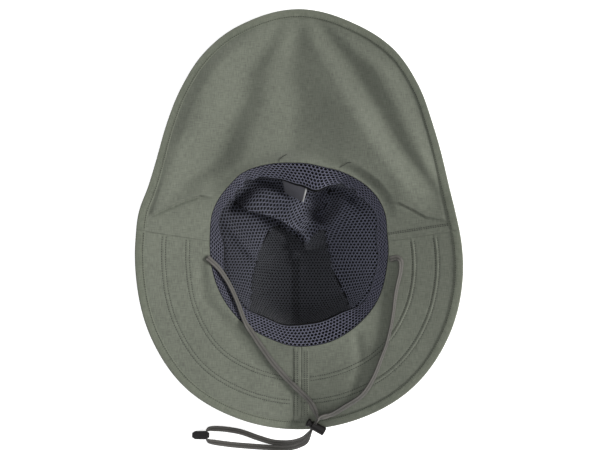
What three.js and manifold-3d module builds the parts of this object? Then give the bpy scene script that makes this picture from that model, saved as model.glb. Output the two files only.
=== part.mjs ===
// A wide-brim sun hat with a neck cape, lying on its crown with the underside of its brim up.
// Millimetres, +Z up. The origin is the middle of the crown's flat top, where it rests.
// +Y points to the tip of the cape, and -Y to the front of the brim.
import * as THREE from "three";
import { mergeVertices } from "three/addons/utils/BufferGeometryUtils.js";
import Module from "manifold-3d";

const wasm = await Module();
wasm.setup();

// Driving sizes
const GAP = 0.3;
const RIM_HEIGHT = 80;
const BRIM_THICKNESS = 3.4;
const CAPE_THICKNESS = 1.6;
const CROWN_THICKNESS = 1.2;
const LINING_THICKNESS = 1;
const SWEATBAND_THICKNESS = 2;
const SWEATBAND_DROP = 16;
const BINDING_WIDTH = 9.5;
const BINDING_THICKNESS = 1.2;
const BINDING_GAP = 0.5;
const SEAM_ANGLE = 99;
const FRONT_SEAM_ANGLE = 0.9;
const SEAM_HALF_GAP = 0.12;
const DRAPE_POWER = 1.3;
const CENTER_BAND = {
  left: -5.8, right: 10, thickness: 1, gap: 0.8, start: 3, end: 11, rows: 5, columns: 4,
};
const BRIM_MESH = { rows: 6, columns: 30 };
const CAPE_MESH = { rows: 13, columns: 52 };
const RING_COLUMNS = 54;

// The folds fade out between these distances from the rim and from the edge.
const FOLD_FADE = { rimStart: 3, rimEnd: 25, edgeStart: 9.5, edgeEnd: 28 };

// Round the hat from the front, 0, to the back, 180. Radii are from the middle of the head
// opening: to the opening's rim and to the outer edge. edgeHeight is the edge's height above
// the surface, and drape goes from 0, a stiff straight brim, to 1, limp cloth. bandRight and
// bandLeft are how far the sweatband leans in, and hollow is how bluntly the lining hangs.
const SECTIONS = [
  { angle: 0, rimRight: 94.2, rimLeft: 94.2, edgeRight: 182.3, edgeLeft: 182.3, edgeHeight: 34,
    drape: 0, bandRight: 20, bandLeft: 20, hollow: 8 },
  { angle: 20, rimRight: 94.8, rimLeft: 91.2, edgeRight: 181.1, edgeLeft: 181.1, edgeHeight: 60,
    drape: 0, bandRight: 22, bandLeft: 17, hollow: 8 },
  { angle: 40, rimRight: 93.7, rimLeft: 90.6, edgeRight: 180.2, edgeLeft: 180.2, edgeHeight: 82,
    drape: 0, bandRight: 17, bandLeft: 14, hollow: 6 },
  { angle: 60, rimRight: 93.2, rimLeft: 90.1, edgeRight: 175.5, edgeLeft: 174.4, edgeHeight: 94,
    drape: 0, bandRight: 14, bandLeft: 14, hollow: 4 },
  { angle: 80, rimRight: 91.2, rimLeft: 90.6, edgeRight: 170.2, edgeLeft: 169.1, edgeHeight: 100,
    drape: 0, bandRight: 14, bandLeft: 16, hollow: 2.8 },
  { angle: 95, rimRight: 92.2, rimLeft: 92.2, edgeRight: 167.2, edgeLeft: 168.5, edgeHeight: 101,
    drape: 0.05, bandRight: 14, bandLeft: 17, hollow: 2.4 },
  { angle: 105, rimRight: 93.7, rimLeft: 94.8, edgeRight: 166.5, edgeLeft: 170.2, edgeHeight: 99,
    drape: 0.2, bandRight: 14, bandLeft: 15, hollow: 2.4 },
  { angle: 115, rimRight: 97.9, rimLeft: 98.9, edgeRight: 170, edgeLeft: 170.5, edgeHeight: 92,
    drape: 0.45, bandRight: 13, bandLeft: 12, hollow: 2.5 },
  { angle: 125, rimRight: 99.9, rimLeft: 100.9, edgeRight: 179.7, edgeLeft: 178.2, edgeHeight: 80,
    drape: 0.7, bandRight: 12, bandLeft: 10, hollow: 2.5 },
  { angle: 135, rimRight: 99.4, rimLeft: 101.5, edgeRight: 194.9, edgeLeft: 193.3, edgeHeight: 64,
    drape: 0.9, bandRight: 11, bandLeft: 10, hollow: 2.5 },
  { angle: 145, rimRight: 97.6, rimLeft: 102.7, edgeRight: 216, edgeLeft: 212.9, edgeHeight: 46,
    drape: 1, bandRight: 11, bandLeft: 10, hollow: 2.5 },
  { angle: 155, rimRight: 95.8, rimLeft: 100.4, edgeRight: 235.8, edgeLeft: 233.2, edgeHeight: 29,
    drape: 1, bandRight: 16, bandLeft: 11, hollow: 2.5 },
  { angle: 165, rimRight: 93.9, rimLeft: 97.6, edgeRight: 247.6, edgeLeft: 247.6, edgeHeight: 14,
    drape: 1, bandRight: 23, bandLeft: 15, hollow: 2.5 },
  { angle: 180, rimRight: 94.8, rimLeft: 94.8, edgeRight: 257.7, edgeLeft: 257.7, edgeHeight: 3.8,
    drape: 1, bandRight: 22, bandLeft: 22, hollow: 2.5 },
];

// Folds of the cape and creases beside the seams: a line through three places seen from above,
// how high it stands or how deep it falls, and how wide it is to each side.
const CAPE_FOLDS = [
  { fromX: -90, fromY: 214, midX: -126, midY: 150, toX: -144, toY: 72, height: 5, width: 15 },
  { fromX: -15, fromY: 236, midX: -57, midY: 161, toX: -92, toY: 92, height: -6, width: 15 },
  { fromX: -1, fromY: 236, midX: 0, midY: 150, toX: 1, toY: 100, height: -7, width: 18 },
  { fromX: 14, fromY: 232, midX: 54, midY: 150, toX: 84, toY: 88, height: 6, width: 18 },
  { fromX: 22, fromY: 236, midX: 88, midY: 138, toX: 146, toY: 56, height: -9, width: 13 },
  { fromX: 36, fromY: 234, midX: 106, midY: 140, toX: 140, toY: 80, height: 4, width: 12 },
  { fromX: -158, fromY: 37, midX: -112, midY: 57, toX: -86, toY: 60, height: -3, width: 5 },
  { fromX: 91, fromY: 53, midX: 124, midY: 42, toX: 156, toY: 34, height: -3, width: 5 },
];

// Folds of the lining, which hangs slack: the tongue that slumps in from the back wall, the
// shelf to its left, and the pocket between it and the right wall.
const LINING_FOLDS = [
  { fromX: -14, fromY: 54, midX: -8, midY: 32, toX: 2, toY: 8, height: 24, width: 16 },
  { fromX: -70, fromY: 50, midX: -46, midY: 46, toX: -22, toY: 38, height: 12, width: 12 },
  { fromX: 36, fromY: 74, midX: 24, midY: 48, toX: 10, toY: 26, height: -12, width: 10 },
];

// The crown's outer face from the middle of its top to the rim, as a share of the opening's
// radius and a height. Its top panel ends at the seam's share.
const CROWN_PROFILE = [
  { share: 0, height: 0 },
  { share: 0.62, height: 0 },
  { share: 0.74, height: 2.6 },
  { share: 0.84, height: 9.5 },
  { share: 0.91, height: 22 },
  { share: 0.96, height: 40 },
  { share: 0.99, height: 60 },
  { share: 1, height: 75.4 },
];
const LINING = { floor: 2.6, underBand: 54, top: 70.1, inset: 3.1 };
const CROWN_TOP_ROWS = 3;
const CROWN_FLAT_ROWS = 2;
const CROWN_DENT = { angle: 168, spread: 34, depth: 10, height: 34, rise: 14 };

const FINISHES = {
  nylon: { color: "#6f7264", roughness: 0.85, metalness: 0 },
  binding: { color: "#64685c", roughness: 0.8, metalness: 0 },
  mesh: { color: "#42434c", roughness: 0.9, metalness: 0 },
  lining: { color: "#2b2c31", roughness: 0.95, metalness: 0 },
  webbing: { color: "#5f5c5a", roughness: 0.8, metalness: 0 },
  tape: { color: "#2e2f35", roughness: 0.8, metalness: 0 },
  plastic: { color: "#2b2624", roughness: 0.45, metalness: 0 },
};

const degrees = THREE.MathUtils.degToRad;

// A smooth curve through a table's rows, level at both ends of the table.
function smoothAt(rows, key, value, column) {
  const last = rows.length - 1;
  const at = Math.min(Math.max(value, rows[0][key]), rows[last][key]);
  let i = 0;
  while (i < last - 1 && at > rows[i + 1][key]) {
    i += 1;
  }
  const slope = (k) => {
    if (k === 0 || k === last) {
      return 0;
    }
    return (rows[k + 1][column] - rows[k - 1][column]) / (rows[k + 1][key] - rows[k - 1][key]);
  };
  const span = rows[i + 1][key] - rows[i][key];
  const t = (at - rows[i][key]) / span;
  const t2 = t * t;
  const t3 = t2 * t;
  return (2 * t3 - 3 * t2 + 1) * rows[i][column] + (t3 - 2 * t2 + t) * span * slope(i)
    + (3 * t2 - 2 * t3) * rows[i + 1][column] + (t3 - t2) * span * slope(i + 1);
}

// An angle round the hat in (-180, 180], where the right side is positive.
function wrapped(angle) {
  const turned = angle % 360;
  if (turned > 180) {
    return turned - 360;
  }
  return turned <= -180 ? turned + 360 : turned;
}

function sideValue(angle, name) {
  const around = wrapped(angle);
  const side = around >= 0 ? "Right" : "Left";
  return smoothAt(SECTIONS, "angle", Math.abs(around), name + side);
}

function evenValue(angle, name) {
  return smoothAt(SECTIONS, "angle", Math.abs(wrapped(angle)), name);
}

const rimRadius = (angle) => sideValue(angle, "rim");
const edgeRadius = (angle) => sideValue(angle, "edge");

function polar(angle, radius, height) {
  const a = degrees(angle);
  return new THREE.Vector3(radius * Math.sin(a), -radius * Math.cos(a), height);
}

// The fold's rise at a place seen from above: a rounded ridge that fades out at its ends.
function foldRise(rows, x, y) {
  const place = new THREE.Vector2(x, y);
  const fade = 0.16;
  let rise = 0;
  for (const row of rows) {
    const from = new THREE.Vector2(row.fromX, row.fromY);
    const mid = new THREE.Vector2(row.midX, row.midY);
    const to = new THREE.Vector2(row.toX, row.toY);
    let nearest = Infinity;
    let share = 0;
    for (const [a, b, start] of [[from, mid, 0], [mid, to, 0.5]]) {
      const run = b.clone().sub(a);
      const t = THREE.MathUtils.clamp(place.clone().sub(a).dot(run) / run.lengthSq(), 0, 1);
      const distance = place.distanceTo(a.clone().addScaledVector(run, t));
      if (distance < nearest) {
        nearest = distance;
        share = start + t / 2;
      }
    }
    const ends = THREE.MathUtils.smoothstep(Math.min(share, 1 - share), -fade / 2, fade);
    rise += row.height * ends * Math.exp(-((nearest / row.width) ** 2));
  }
  return rise;
}

// Height of the underside of the brim and cape, which faces up, at a share of the way from the
// rim to the edge.
function undersideHeight(angle, share) {
  const edge = evenValue(angle, "edgeHeight");
  const drape = evenValue(angle, "drape");
  const fall = RIM_HEIGHT - edge;
  const straight = 1 - share;
  const limp = Math.max(0, straight) ** DRAPE_POWER;
  const width = edgeRadius(angle) - rimRadius(angle);
  const place = polar(angle, rimRadius(angle) + width * share, 0);
  const { rimStart, rimEnd, edgeStart, edgeEnd } = FOLD_FADE;
  const quiet = THREE.MathUtils.smoothstep(share * width, rimStart, rimEnd)
    * THREE.MathUtils.smoothstep((1 - share) * width, edgeStart, edgeEnd);
  const folds = quiet * foldRise(CAPE_FOLDS, place.x, place.y);
  return edge + fall * THREE.MathUtils.lerp(straight, limp, drape) + folds;
}

function undersidePoint(angle, radius, lift) {
  const rim = rimRadius(angle);
  const share = (radius - rim) / (edgeRadius(angle) - rim);
  return polar(angle, radius, undersideHeight(angle, share) + lift);
}

// Height of whatever faces up at a place: sweatband, brim or cape with its binding, or the
// surface that the hat lies on.
function topHeight(x, y) {
  const radius = Math.hypot(x, y);
  const angle = THREE.MathUtils.radToDeg(Math.atan2(x, -y));
  const rim = rimRadius(angle);
  const edge = edgeRadius(angle);
  if (radius > edge) {
    return 0;
  }
  if (radius < rim) {
    return RIM_HEIGHT - SWEATBAND_DROP * (rim - radius) / sideValue(angle, "band");
  }
  const onBinding = radius > edge - BINDING_WIDTH;
  const { left, right, thickness, gap, start, end } = CENTER_BAND;
  const onBand = y < 0 && x > left - start && x < right + start
    && radius > rim + start && radius < edge - end;
  let trim = onBand ? gap + thickness : 0;
  trim = onBinding ? BINDING_GAP + BINDING_THICKNESS : trim;
  return undersideHeight(angle, (radius - rim) / (edge - rim)) + trim;
}

function signedVolume(position, index) {
  const [a, b, c] = [new THREE.Vector3(), new THREE.Vector3(), new THREE.Vector3()];
  let volume = 0;
  for (let i = 0; i < index.length; i += 3) {
    a.fromArray(position, index[i] * 3);
    b.fromArray(position, index[i + 1] * 3);
    c.fromArray(position, index[i + 2] * 3);
    volume += a.dot(b.cross(c)) / 6;
  }
  return volume;
}

// A geometry of shared vertices whose faces point out.
function closedGeometry(position, index) {
  const faces = [...index];
  if (signedVolume(position, faces) < 0) {
    for (let i = 0; i < faces.length; i += 3) {
      [faces[i], faces[i + 1]] = [faces[i + 1], faces[i]];
    }
  }
  const geometry = new THREE.BufferGeometry();
  geometry.setAttribute("position", new THREE.Float32BufferAttribute(position, 3));
  geometry.setIndex(faces);
  geometry.computeVertexNormals();
  return geometry;
}

// Joins loops of points, each the outline of one cut through the piece, into a closed solid.
// A ring joins its last loop to its first. Otherwise both ends are capped.
function loft(loops, ring = false) {
  const stepsPerMillimetre = 1e4;
  const position = [];
  const index = [];
  const known = new Map();
  const vertex = (point) => {
    const key = point.toArray().map((value) => Math.round(value * stepsPerMillimetre)).join();
    if (!known.has(key)) {
      known.set(key, position.length / 3);
      position.push(point.x, point.y, point.z);
    }
    return known.get(key);
  };
  const face = (a, b, c) => {
    if (a !== b && b !== c && c !== a) {
      index.push(a, b, c);
    }
  };
  const rows = loops.map((loop) => loop.map(vertex));
  const count = rows[0].length;
  const spans = ring ? rows.length : rows.length - 1;
  for (let i = 0; i < spans; i += 1) {
    const here = rows[i];
    const next = rows[(i + 1) % rows.length];
    for (let k = 0; k < count; k += 1) {
      const l = (k + 1) % count;
      face(here[k], next[k], next[l]);
      face(here[k], next[l], here[l]);
    }
  }
  if (!ring) {
    for (const [end, sign] of [[0, 1], [loops.length - 1, -1]]) {
      const flat = flattened(loops[end]);
      for (const [a, b, c] of THREE.ShapeUtils.triangulateShape(flat, [])) {
        const row = rows[end];
        if (sign > 0) {
          face(row[a], row[b], row[c]);
        } else {
          face(row[c], row[b], row[a]);
        }
      }
    }
  }
  return closedGeometry(position, index);
}

// A flat loop of points in its own plane, kept in the turning sense that the loft's caps need.
function flattened(loop) {
  const normal = new THREE.Vector3();
  for (let i = 0; i < loop.length; i += 1) {
    const next = loop[(i + 1) % loop.length];
    normal.add(loop[i].clone().cross(next));
  }
  normal.normalize();
  const across = loop[loop.length - 1].clone().sub(loop[0]).projectOnPlane(normal).normalize();
  const up = normal.clone().cross(across);
  return loop.map((point) => new THREE.Vector2(point.dot(across), point.dot(up)));
}

function steps(from, to, count) {
  return Array.from({ length: count + 1 }, (_, i) => THREE.MathUtils.lerp(from, to, i / count));
}

const seamStart = SEAM_ANGLE - SEAM_HALF_GAP;
const seamEnd = SEAM_ANGLE + SEAM_HALF_GAP;
const ringAngles = steps(0, 360, RING_COLUMNS).slice(0, RING_COLUMNS);
const leftAngles = steps(-seamStart, FRONT_SEAM_ANGLE - SEAM_HALF_GAP, BRIM_MESH.columns);
const rightAngles = steps(FRONT_SEAM_ANGLE + SEAM_HALF_GAP, seamStart, BRIM_MESH.columns);
const capeAngles = steps(seamEnd, 360 - seamEnd, CAPE_MESH.columns);

// A sheet of the brim or cape. Its edge stops short of the binding's fold.
function sheet(angles, rows, thickness) {
  const loops = angles.map((angle) => {
    const inner = rimRadius(angle) + GAP;
    const outer = edgeRadius(angle) - BINDING_THICKNESS - GAP;
    const radii = [...steps(inner, edgeRadius(angle) - BINDING_WIDTH, rows), outer];
    const top = radii.map((radius) => undersidePoint(angle, radius, 0));
    const bottom = radii.reverse().map((radius) => undersidePoint(angle, radius, -thickness));
    return [...top, ...bottom];
  });
  return loft(loops);
}

// The binding is folded round the sheet's edge, with a leg on each face.
function binding(angles, sheetThickness) {
  const loops = angles.map((angle) => {
    const outer = edgeRadius(angle);
    const inner = outer - BINDING_WIDTH;
    const bend = outer - BINDING_THICKNESS;
    const top = BINDING_GAP + BINDING_THICKNESS;
    return [
      undersidePoint(angle, inner, top),
      undersidePoint(angle, outer, top),
      undersidePoint(angle, outer, -sheetThickness - top),
      undersidePoint(angle, inner, -sheetThickness - top),
      undersidePoint(angle, inner, -sheetThickness - BINDING_GAP),
      undersidePoint(angle, bend, -sheetThickness - BINDING_GAP),
      undersidePoint(angle, bend, BINDING_GAP),
      undersidePoint(angle, inner, BINDING_GAP),
    ];
  });
  return loft(loops);
}

// The band that covers the brim's front seam.
function centerBand() {
  const { left, right, thickness, gap, start, end, rows, columns } = CENTER_BAND;
  const loops = steps(left, right, columns).map((x) => {
    const at = (radius, lift) => {
      const angle = THREE.MathUtils.radToDeg(Math.asin(x / radius));
      return undersidePoint(angle, radius, lift);
    };
    const radii = steps(rimRadius(0) + start, edgeRadius(0) - end, rows);
    const top = radii.map((radius) => at(radius, gap + thickness));
    const bottom = radii.reverse().map((radius) => at(radius, gap));
    return [...top, ...bottom];
  });
  return loft(loops);
}

function crownPoint(angle, row, inset) {
  const before = CROWN_PROFILE[Math.max(row - 1, 0)];
  const after = CROWN_PROFILE[Math.min(row + 1, CROWN_PROFILE.length - 1)];
  const here = CROWN_PROFILE[row];
  const rim = rimRadius(angle);
  const run = (after.share - before.share) * rim;
  const rise = after.height - before.height;
  const length = Math.hypot(run, rise);
  const away = Math.abs(wrapped(angle - CROWN_DENT.angle)) / CROWN_DENT.spread;
  const level = (here.height - CROWN_DENT.height) / CROWN_DENT.rise;
  const dent = CROWN_DENT.depth * Math.exp(-(away ** 2) - level ** 2);
  const flat = row < CROWN_FLAT_ROWS;
  const inward = flat ? 0 : inset * rise / length;
  const upward = flat ? inset : inset * run / length;
  return polar(angle, here.share * (rim - dent) - inward, here.height + upward);
}

function crownPanel(firstRow, lastRow, startGap) {
  const loops = ringAngles.map((angle) => {
    const outside = [];
    const inside = [];
    for (let row = firstRow; row <= lastRow; row += 1) {
      outside.push(crownPoint(angle, row, 0));
      inside.unshift(crownPoint(angle, row, CROWN_THICKNESS));
    }
    if (startGap > 0) {
      const shift = outside[1].clone().sub(outside[0]).setLength(startGap);
      outside[0].add(shift);
      inside[inside.length - 1].add(shift);
    }
    return [...outside, ...inside];
  });
  return loft(loops, true);
}

// The lining hangs inside the crown as a slack bowl.
function liningPoint(angle, share) {
  const { floor, underBand, top, inset } = LINING;
  const rim = rimRadius(angle);
  const knee = (rim - sideValue(angle, "band")) / (rim - inset);
  const radius = share * (rim - inset);
  const place = polar(angle, radius, 0);
  const wall = underBand + (top - underBand) * ((share - knee) / (1 - knee)) ** 2;
  const bowl = floor + (underBand - floor) * (share / knee) ** evenValue(angle, "hollow");
  const folds = foldRise(LINING_FOLDS, place.x, place.y) * (1 - share ** 8);
  place.z = Math.max(floor, (share > knee ? wall : bowl) + folds);
  return place;
}

function lining() {
  const shares = [0, 0.16, 0.32, 0.48, 0.62, 0.76, 0.88, 0.96, 1];
  const small = 0.01;
  const offset = (angle, share) => {
    if (share === 0) {
      return liningPoint(angle, 0).add(new THREE.Vector3(0, 0, -LINING_THICKNESS));
    }
    const around = liningPoint(angle + 1, share).sub(liningPoint(angle - 1, share));
    const outward = liningPoint(angle, share).sub(liningPoint(angle, share - small));
    const normal = around.cross(outward).normalize();
    const down = -Math.sign(normal.z) * LINING_THICKNESS;
    return liningPoint(angle, share).addScaledVector(normal, down);
  };
  const loops = ringAngles.map((angle) => {
    const inside = shares.map((share) => liningPoint(angle, share));
    const outside = [...shares].reverse().map((share) => offset(angle, share));
    return [...inside, ...outside];
  });
  return loft(loops, true);
}

function sweatband() {
  const rows = 2;
  const loops = ringAngles.map((angle) => {
    const rim = rimRadius(angle) - GAP;
    const lean = sideValue(angle, "band");
    const length = Math.hypot(lean, SWEATBAND_DROP);
    const normal = { out: SWEATBAND_DROP / length, down: lean / length };
    const shares = steps(0, 1, rows);
    const at = (share, depth) => polar(
      angle,
      Math.min(rim, rim - lean * share + depth * normal.out),
      RIM_HEIGHT - SWEATBAND_DROP * share - depth * normal.down,
    );
    const top = shares.map((share) => at(share, 0));
    const bottom = shares.reverse().map((share) => at(share, SWEATBAND_THICKNESS));
    return [...top, ...bottom];
  });
  return loft(loops, true);
}

// The corners of the label, a folded tab that hangs from the back of the sweatband.
const LABEL_CORNERS = [
  { x: -18.6, y: 82.5, z: 63.8 },
  { x: 9.4, y: 73.2, z: 62.2 },
  { x: 4.1, y: 54.6, z: 50.5 },
  { x: -14.4, y: 63.9, z: 50.5 },
];

function label() {
  const thickness = 1;
  const corners = LABEL_CORNERS.map(({ x, y, z }) => new THREE.Vector3(x, y, z));
  const back = corners.map((corner) => corner.clone().add(new THREE.Vector3(0, 0, -thickness)));
  return loft([corners, back]);
}

// Cord lock: a barrel with a bore, and a sprung button whose stem slides in it. The cord's two
// strands cross both through a slot. Lengths along the lock's axis are from the button's face.
const LOCK = {
  face: new THREE.Vector3(8.2, -173.6, 48.9),
  heading: -29.4,
  dip: 3,
  cordDip: 30,
  buttonRadius: 4.5,
  buttonLength: 3.6,
  mouth: 5.5,
  end: 21,
  barrelRadius: 4.6,
  boreRadius: 3.5,
  boreEnd: 17.2,
  stemRadius: 3.2,
  stemEnd: 15,
  slotStart: 6.4,
  slotEnd: 10,
  slotHeight: 4.8,
  slotDepth: 20,
  travel: 1.6,
  barrelEase: 0.7,
  buttonEase: 0.8,
  overlap: 1,
  sides: 20,
};

function lockFrame() {
  const heading = degrees(LOCK.heading);
  const dip = degrees(LOCK.dip);
  const axis = new THREE.Vector3(
    Math.cos(heading) * Math.cos(dip), Math.sin(heading) * Math.cos(dip), -Math.sin(dip),
  );
  const cordDip = degrees(LOCK.cordDip);
  const through = new THREE.Vector3(
    Math.sin(heading) * Math.cos(cordDip), -Math.cos(heading) * Math.cos(cordDip),
    -Math.sin(cordDip),
  );
  through.projectOnPlane(axis).normalize();
  const up = through.clone().cross(axis).normalize();
  if (up.z < 0) {
    up.negate();
  }
  return { axis, through, up };
}

const lockAxes = lockFrame();

// A place in the lock: along its axis, along the cord's way through it, and up.
function lockPlace(along, through, up) {
  return LOCK.face.clone()
    .addScaledVector(lockAxes.axis, along)
    .addScaledVector(lockAxes.through, through)
    .addScaledVector(lockAxes.up, up);
}

function solid(geometry) {
  const bare = geometry.clone();
  bare.deleteAttribute("normal");
  bare.deleteAttribute("uv");
  const merged = mergeVertices(bare);
  return new wasm.Manifold(new wasm.Mesh({
    numProp: 3,
    vertProperties: new Float32Array(merged.attributes.position.array),
    triVerts: new Uint32Array(merged.index.array),
  }));
}

function geometryOf(manifold) {
  const mesh = manifold.getMesh();
  return closedGeometry(Array.from(mesh.vertProperties), Array.from(mesh.triVerts));
}

// A round bar along the lock's X axis from one length to another, with an eased outer edge.
function lockBar(radius, from, to, ease = 0) {
  const profile = [
    new THREE.Vector2(0, from),
    new THREE.Vector2(radius - ease, from),
    new THREE.Vector2(radius, from + ease),
    new THREE.Vector2(radius, to - ease),
    new THREE.Vector2(radius - ease, to),
    new THREE.Vector2(0, to),
  ];
  const points = ease > 0 ? profile : [profile[0], profile[2], profile[3], profile[5]];
  const bar = new THREE.LatheGeometry(points, LOCK.sides);
  bar.rotateZ(-Math.PI / 2);
  return solid(closedLathe(bar));
}

const MERGE_DISTANCE = 1e-4;

// A lathe's seam and poles hold double vertices, and its faces may point in.
function closedLathe(geometry) {
  const bare = geometry.clone();
  bare.deleteAttribute("normal");
  bare.deleteAttribute("uv");
  const merged = mergeVertices(bare, MERGE_DISTANCE);
  const index = Array.from(merged.index.array);
  const kept = [];
  for (let i = 0; i < index.length; i += 3) {
    const [a, b, c] = index.slice(i, i + 3);
    if (a !== b && b !== c && c !== a) {
      kept.push(a, b, c);
    }
  }
  return closedGeometry(Array.from(merged.attributes.position.array), kept);
}

function block(size, middle) {
  const box = new THREE.BoxGeometry(size.x, size.y, size.z);
  box.translate(middle.x, middle.y, middle.z);
  return solid(box);
}

function lockSlot(from, to) {
  const size = { x: to - from, y: LOCK.slotDepth, z: LOCK.slotHeight };
  return block(size, { x: (from + to) / 2, y: 0, z: 0 });
}

function placedInLock(manifold) {
  const geometry = geometryOf(manifold);
  const back = lockAxes.through.clone().negate();
  const frame = new THREE.Matrix4().makeBasis(lockAxes.axis, back, lockAxes.up);
  frame.setPosition(LOCK.face);
  return { geometry, frame };
}

function lockBarrel() {
  const body = lockBar(LOCK.barrelRadius, LOCK.mouth, LOCK.end, LOCK.barrelEase);
  const bore = lockBar(LOCK.boreRadius, LOCK.mouth - LOCK.overlap, LOCK.boreEnd);
  return placedInLock(body.subtract(bore).subtract(lockSlot(LOCK.slotStart, LOCK.slotEnd)));
}

function lockButton() {
  const head = lockBar(LOCK.buttonRadius, 0, LOCK.buttonLength, LOCK.buttonEase);
  const stem = lockBar(LOCK.stemRadius, LOCK.buttonLength - LOCK.overlap, LOCK.stemEnd);
  const slot = lockSlot(LOCK.slotStart - LOCK.travel, LOCK.slotEnd);
  return placedInLock(head.add(stem).subtract(slot));
}

// The clip at the end of the loop: a tapered block with an eye that the cord turns through.
const CLIP = {
  x: -103.2, y: -189.6, length: 18, depth: 8.6, height: 6, taper: 3.2, noseDepth: 4.4,
  eyeX: -97.8, eyeLength: 3, eyeHeight: 4.8, lift: 0.2,
};

function clip() {
  const half = CLIP.length / 2;
  const outline = new THREE.Shape([
    new THREE.Vector2(-half, -CLIP.noseDepth / 2),
    new THREE.Vector2(-half + CLIP.taper, -CLIP.depth / 2),
    new THREE.Vector2(half - CLIP.taper, -CLIP.depth / 2),
    new THREE.Vector2(half, -CLIP.noseDepth / 2),
    new THREE.Vector2(half, CLIP.noseDepth / 2),
    new THREE.Vector2(half - CLIP.taper, CLIP.depth / 2),
    new THREE.Vector2(-half + CLIP.taper, CLIP.depth / 2),
    new THREE.Vector2(-half, CLIP.noseDepth / 2),
  ]);
  const body = new THREE.ExtrudeGeometry(outline, { depth: CLIP.height, bevelEnabled: false });
  body.translate(CLIP.x, CLIP.y, CLIP.lift);
  const eye = block(
    { x: CLIP.eyeLength, y: 2 * CLIP.depth, z: CLIP.eyeHeight },
    { x: CLIP.eyeX, y: CLIP.y, z: CLIP.lift + CLIP.height / 2 },
  );
  return geometryOf(solid(body).subtract(eye));
}

// The chin cord is a flat strap, one loop from the left of the rim through the lock to the clip
// and back to the right. Where z is missing the strap lies on what is under it. roll turns it
// on its edge, raise lifts it, and squeeze is how far the lock or the clip's eye narrows it.
const CORD = {
  width: 6, thickness: 1.8, edgeRound: 0.6, squeezedWidth: 4.2, squeezedThickness: 1.3,
  clearance: 0.8, stepsPerSpan: 2,
};

function lockStrand(side, through, squeeze) {
  const middle = (LOCK.slotStart + LOCK.slotEnd) / 2;
  const spacing = CORD.squeezedThickness + GAP;
  const place = lockPlace(middle + side * spacing / 2, through, 0);
  return { x: place.x, y: place.y, z: place.z, roll: -90 * side, squeeze, inLock: true };
}

const CORD_ROUTE = [
  { x: -94.6, y: -2.4, roll: 0, raise: 0.4 },
  { x: -90, y: -6.6, roll: 0, raise: 0.5 },
  { x: -82.4, y: -14.4, roll: 0, raise: 0.5 },
  { x: -71.8, y: -30.9, roll: 0, raise: 0.5 },
  { x: -64.4, y: -47, roll: 0, raise: 0.5 },
  { x: -54.6, y: -71.1, roll: 0, raise: 0.7 },
  { x: -50.2, y: -77.4, roll: 0, raise: 0.9 },
  { x: -42.2, y: -89.6, roll: 0 },
  { x: -28.4, y: -109.4, roll: 0 },
  { x: -14.5, y: -126, roll: 0 },
  { x: -1, y: -139.6, roll: 5 },
  { x: 9.2, y: -149.4, roll: 15 },
  { x: 15.6, y: -159.6, z: 56, roll: 45, squeeze: 0.3 },
  lockStrand(-1, -9.5, 0.8),
  lockStrand(-1, -5, 1),
  lockStrand(-1, 0, 1),
  lockStrand(-1, 5, 1),
  lockStrand(-1, 9, 0.8),
  { x: 4.2, y: -191.6, z: 33.5, roll: 125, squeeze: 0.3 },
  { x: -3, y: -195.2, z: 23.5, roll: 150 },
  { x: -10.4, y: -197, z: 13.6, roll: 168 },
  { x: -18.4, y: -197.6, z: 5.8, roll: 176 },
  { x: -28.4, y: -196.8, z: 2, roll: 178 },
  { x: -43.5, y: -192.4, z: 1.5, roll: 178 },
  { x: -60.9, y: -186.4, z: 1.6, roll: 176 },
  { x: -76.7, y: -183.6, z: 1.8, roll: 172 },
  { x: -88.3, y: -182.8, z: 3, roll: 145, squeeze: 0.2 },
  { x: -94.8, y: -183.4, z: 3.2, roll: 90, squeeze: 0.8 },
  { x: -97.7, y: -186.4, z: 3.2, roll: 90, squeeze: 1 },
  { x: -97.8, y: -189.6, z: 3.2, roll: 90, squeeze: 1 },
  { x: -97.7, y: -192.8, z: 3.2, roll: 90, squeeze: 1 },
  { x: -94.8, y: -195.8, z: 3.2, roll: 90, squeeze: 0.8 },
  { x: -88.3, y: -197.2, z: 3, roll: 35, squeeze: 0.2 },
  { x: -71.4, y: -199.6, z: 1.9, roll: 8 },
  { x: -50.4, y: -201.4, z: 2, roll: 4 },
  { x: -28.4, y: -202.8, z: 4.8, roll: 0 },
  { x: -16.6, y: -203, z: 10.4, roll: -8 },
  { x: -7.4, y: -201.6, z: 18.6, roll: -18 },
  { x: -0.2, y: -199, z: 27, roll: -32 },
  { x: 7.4, y: -194.2, z: 35.6, roll: -58, squeeze: 0.3 },
  lockStrand(1, 9, 0.8),
  lockStrand(1, 5, 1),
  lockStrand(1, 0, 1),
  lockStrand(1, -5, 1),
  lockStrand(1, -9.5, 0.8),
  { x: 23, y: -168.8, z: 55, roll: -110, squeeze: 0.3 },
  { x: 33.6, y: -165.4, roll: -140 },
  { x: 48.9, y: -156, roll: -155 },
  { x: 65.4, y: -144.3, roll: -145 },
  { x: 76.6, y: -126.6, roll: -130 },
  { x: 84.8, y: -105.6, roll: -120 },
  { x: 89.8, y: -92, roll: -115 },
  { x: 95.9, y: -66, roll: -114 },
  { x: 99.6, y: -38.2, roll: -114 },
  { x: 104.6, y: -14.6, roll: -120 },
  { x: 104.4, y: -6, roll: -145 },
  { x: 100.6, y: -3, roll: -170 },
  { x: 93.4, y: -4.6, roll: -180 },
];

function slopeNormal(x, y) {
  const reach = 2;
  const alongX = topHeight(x + reach, y) - topHeight(x - reach, y);
  const alongY = topHeight(x, y + reach) - topHeight(x, y - reach);
  return new THREE.Vector3(-alongX / (2 * reach), -alongY / (2 * reach), 1).normalize();
}

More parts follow.
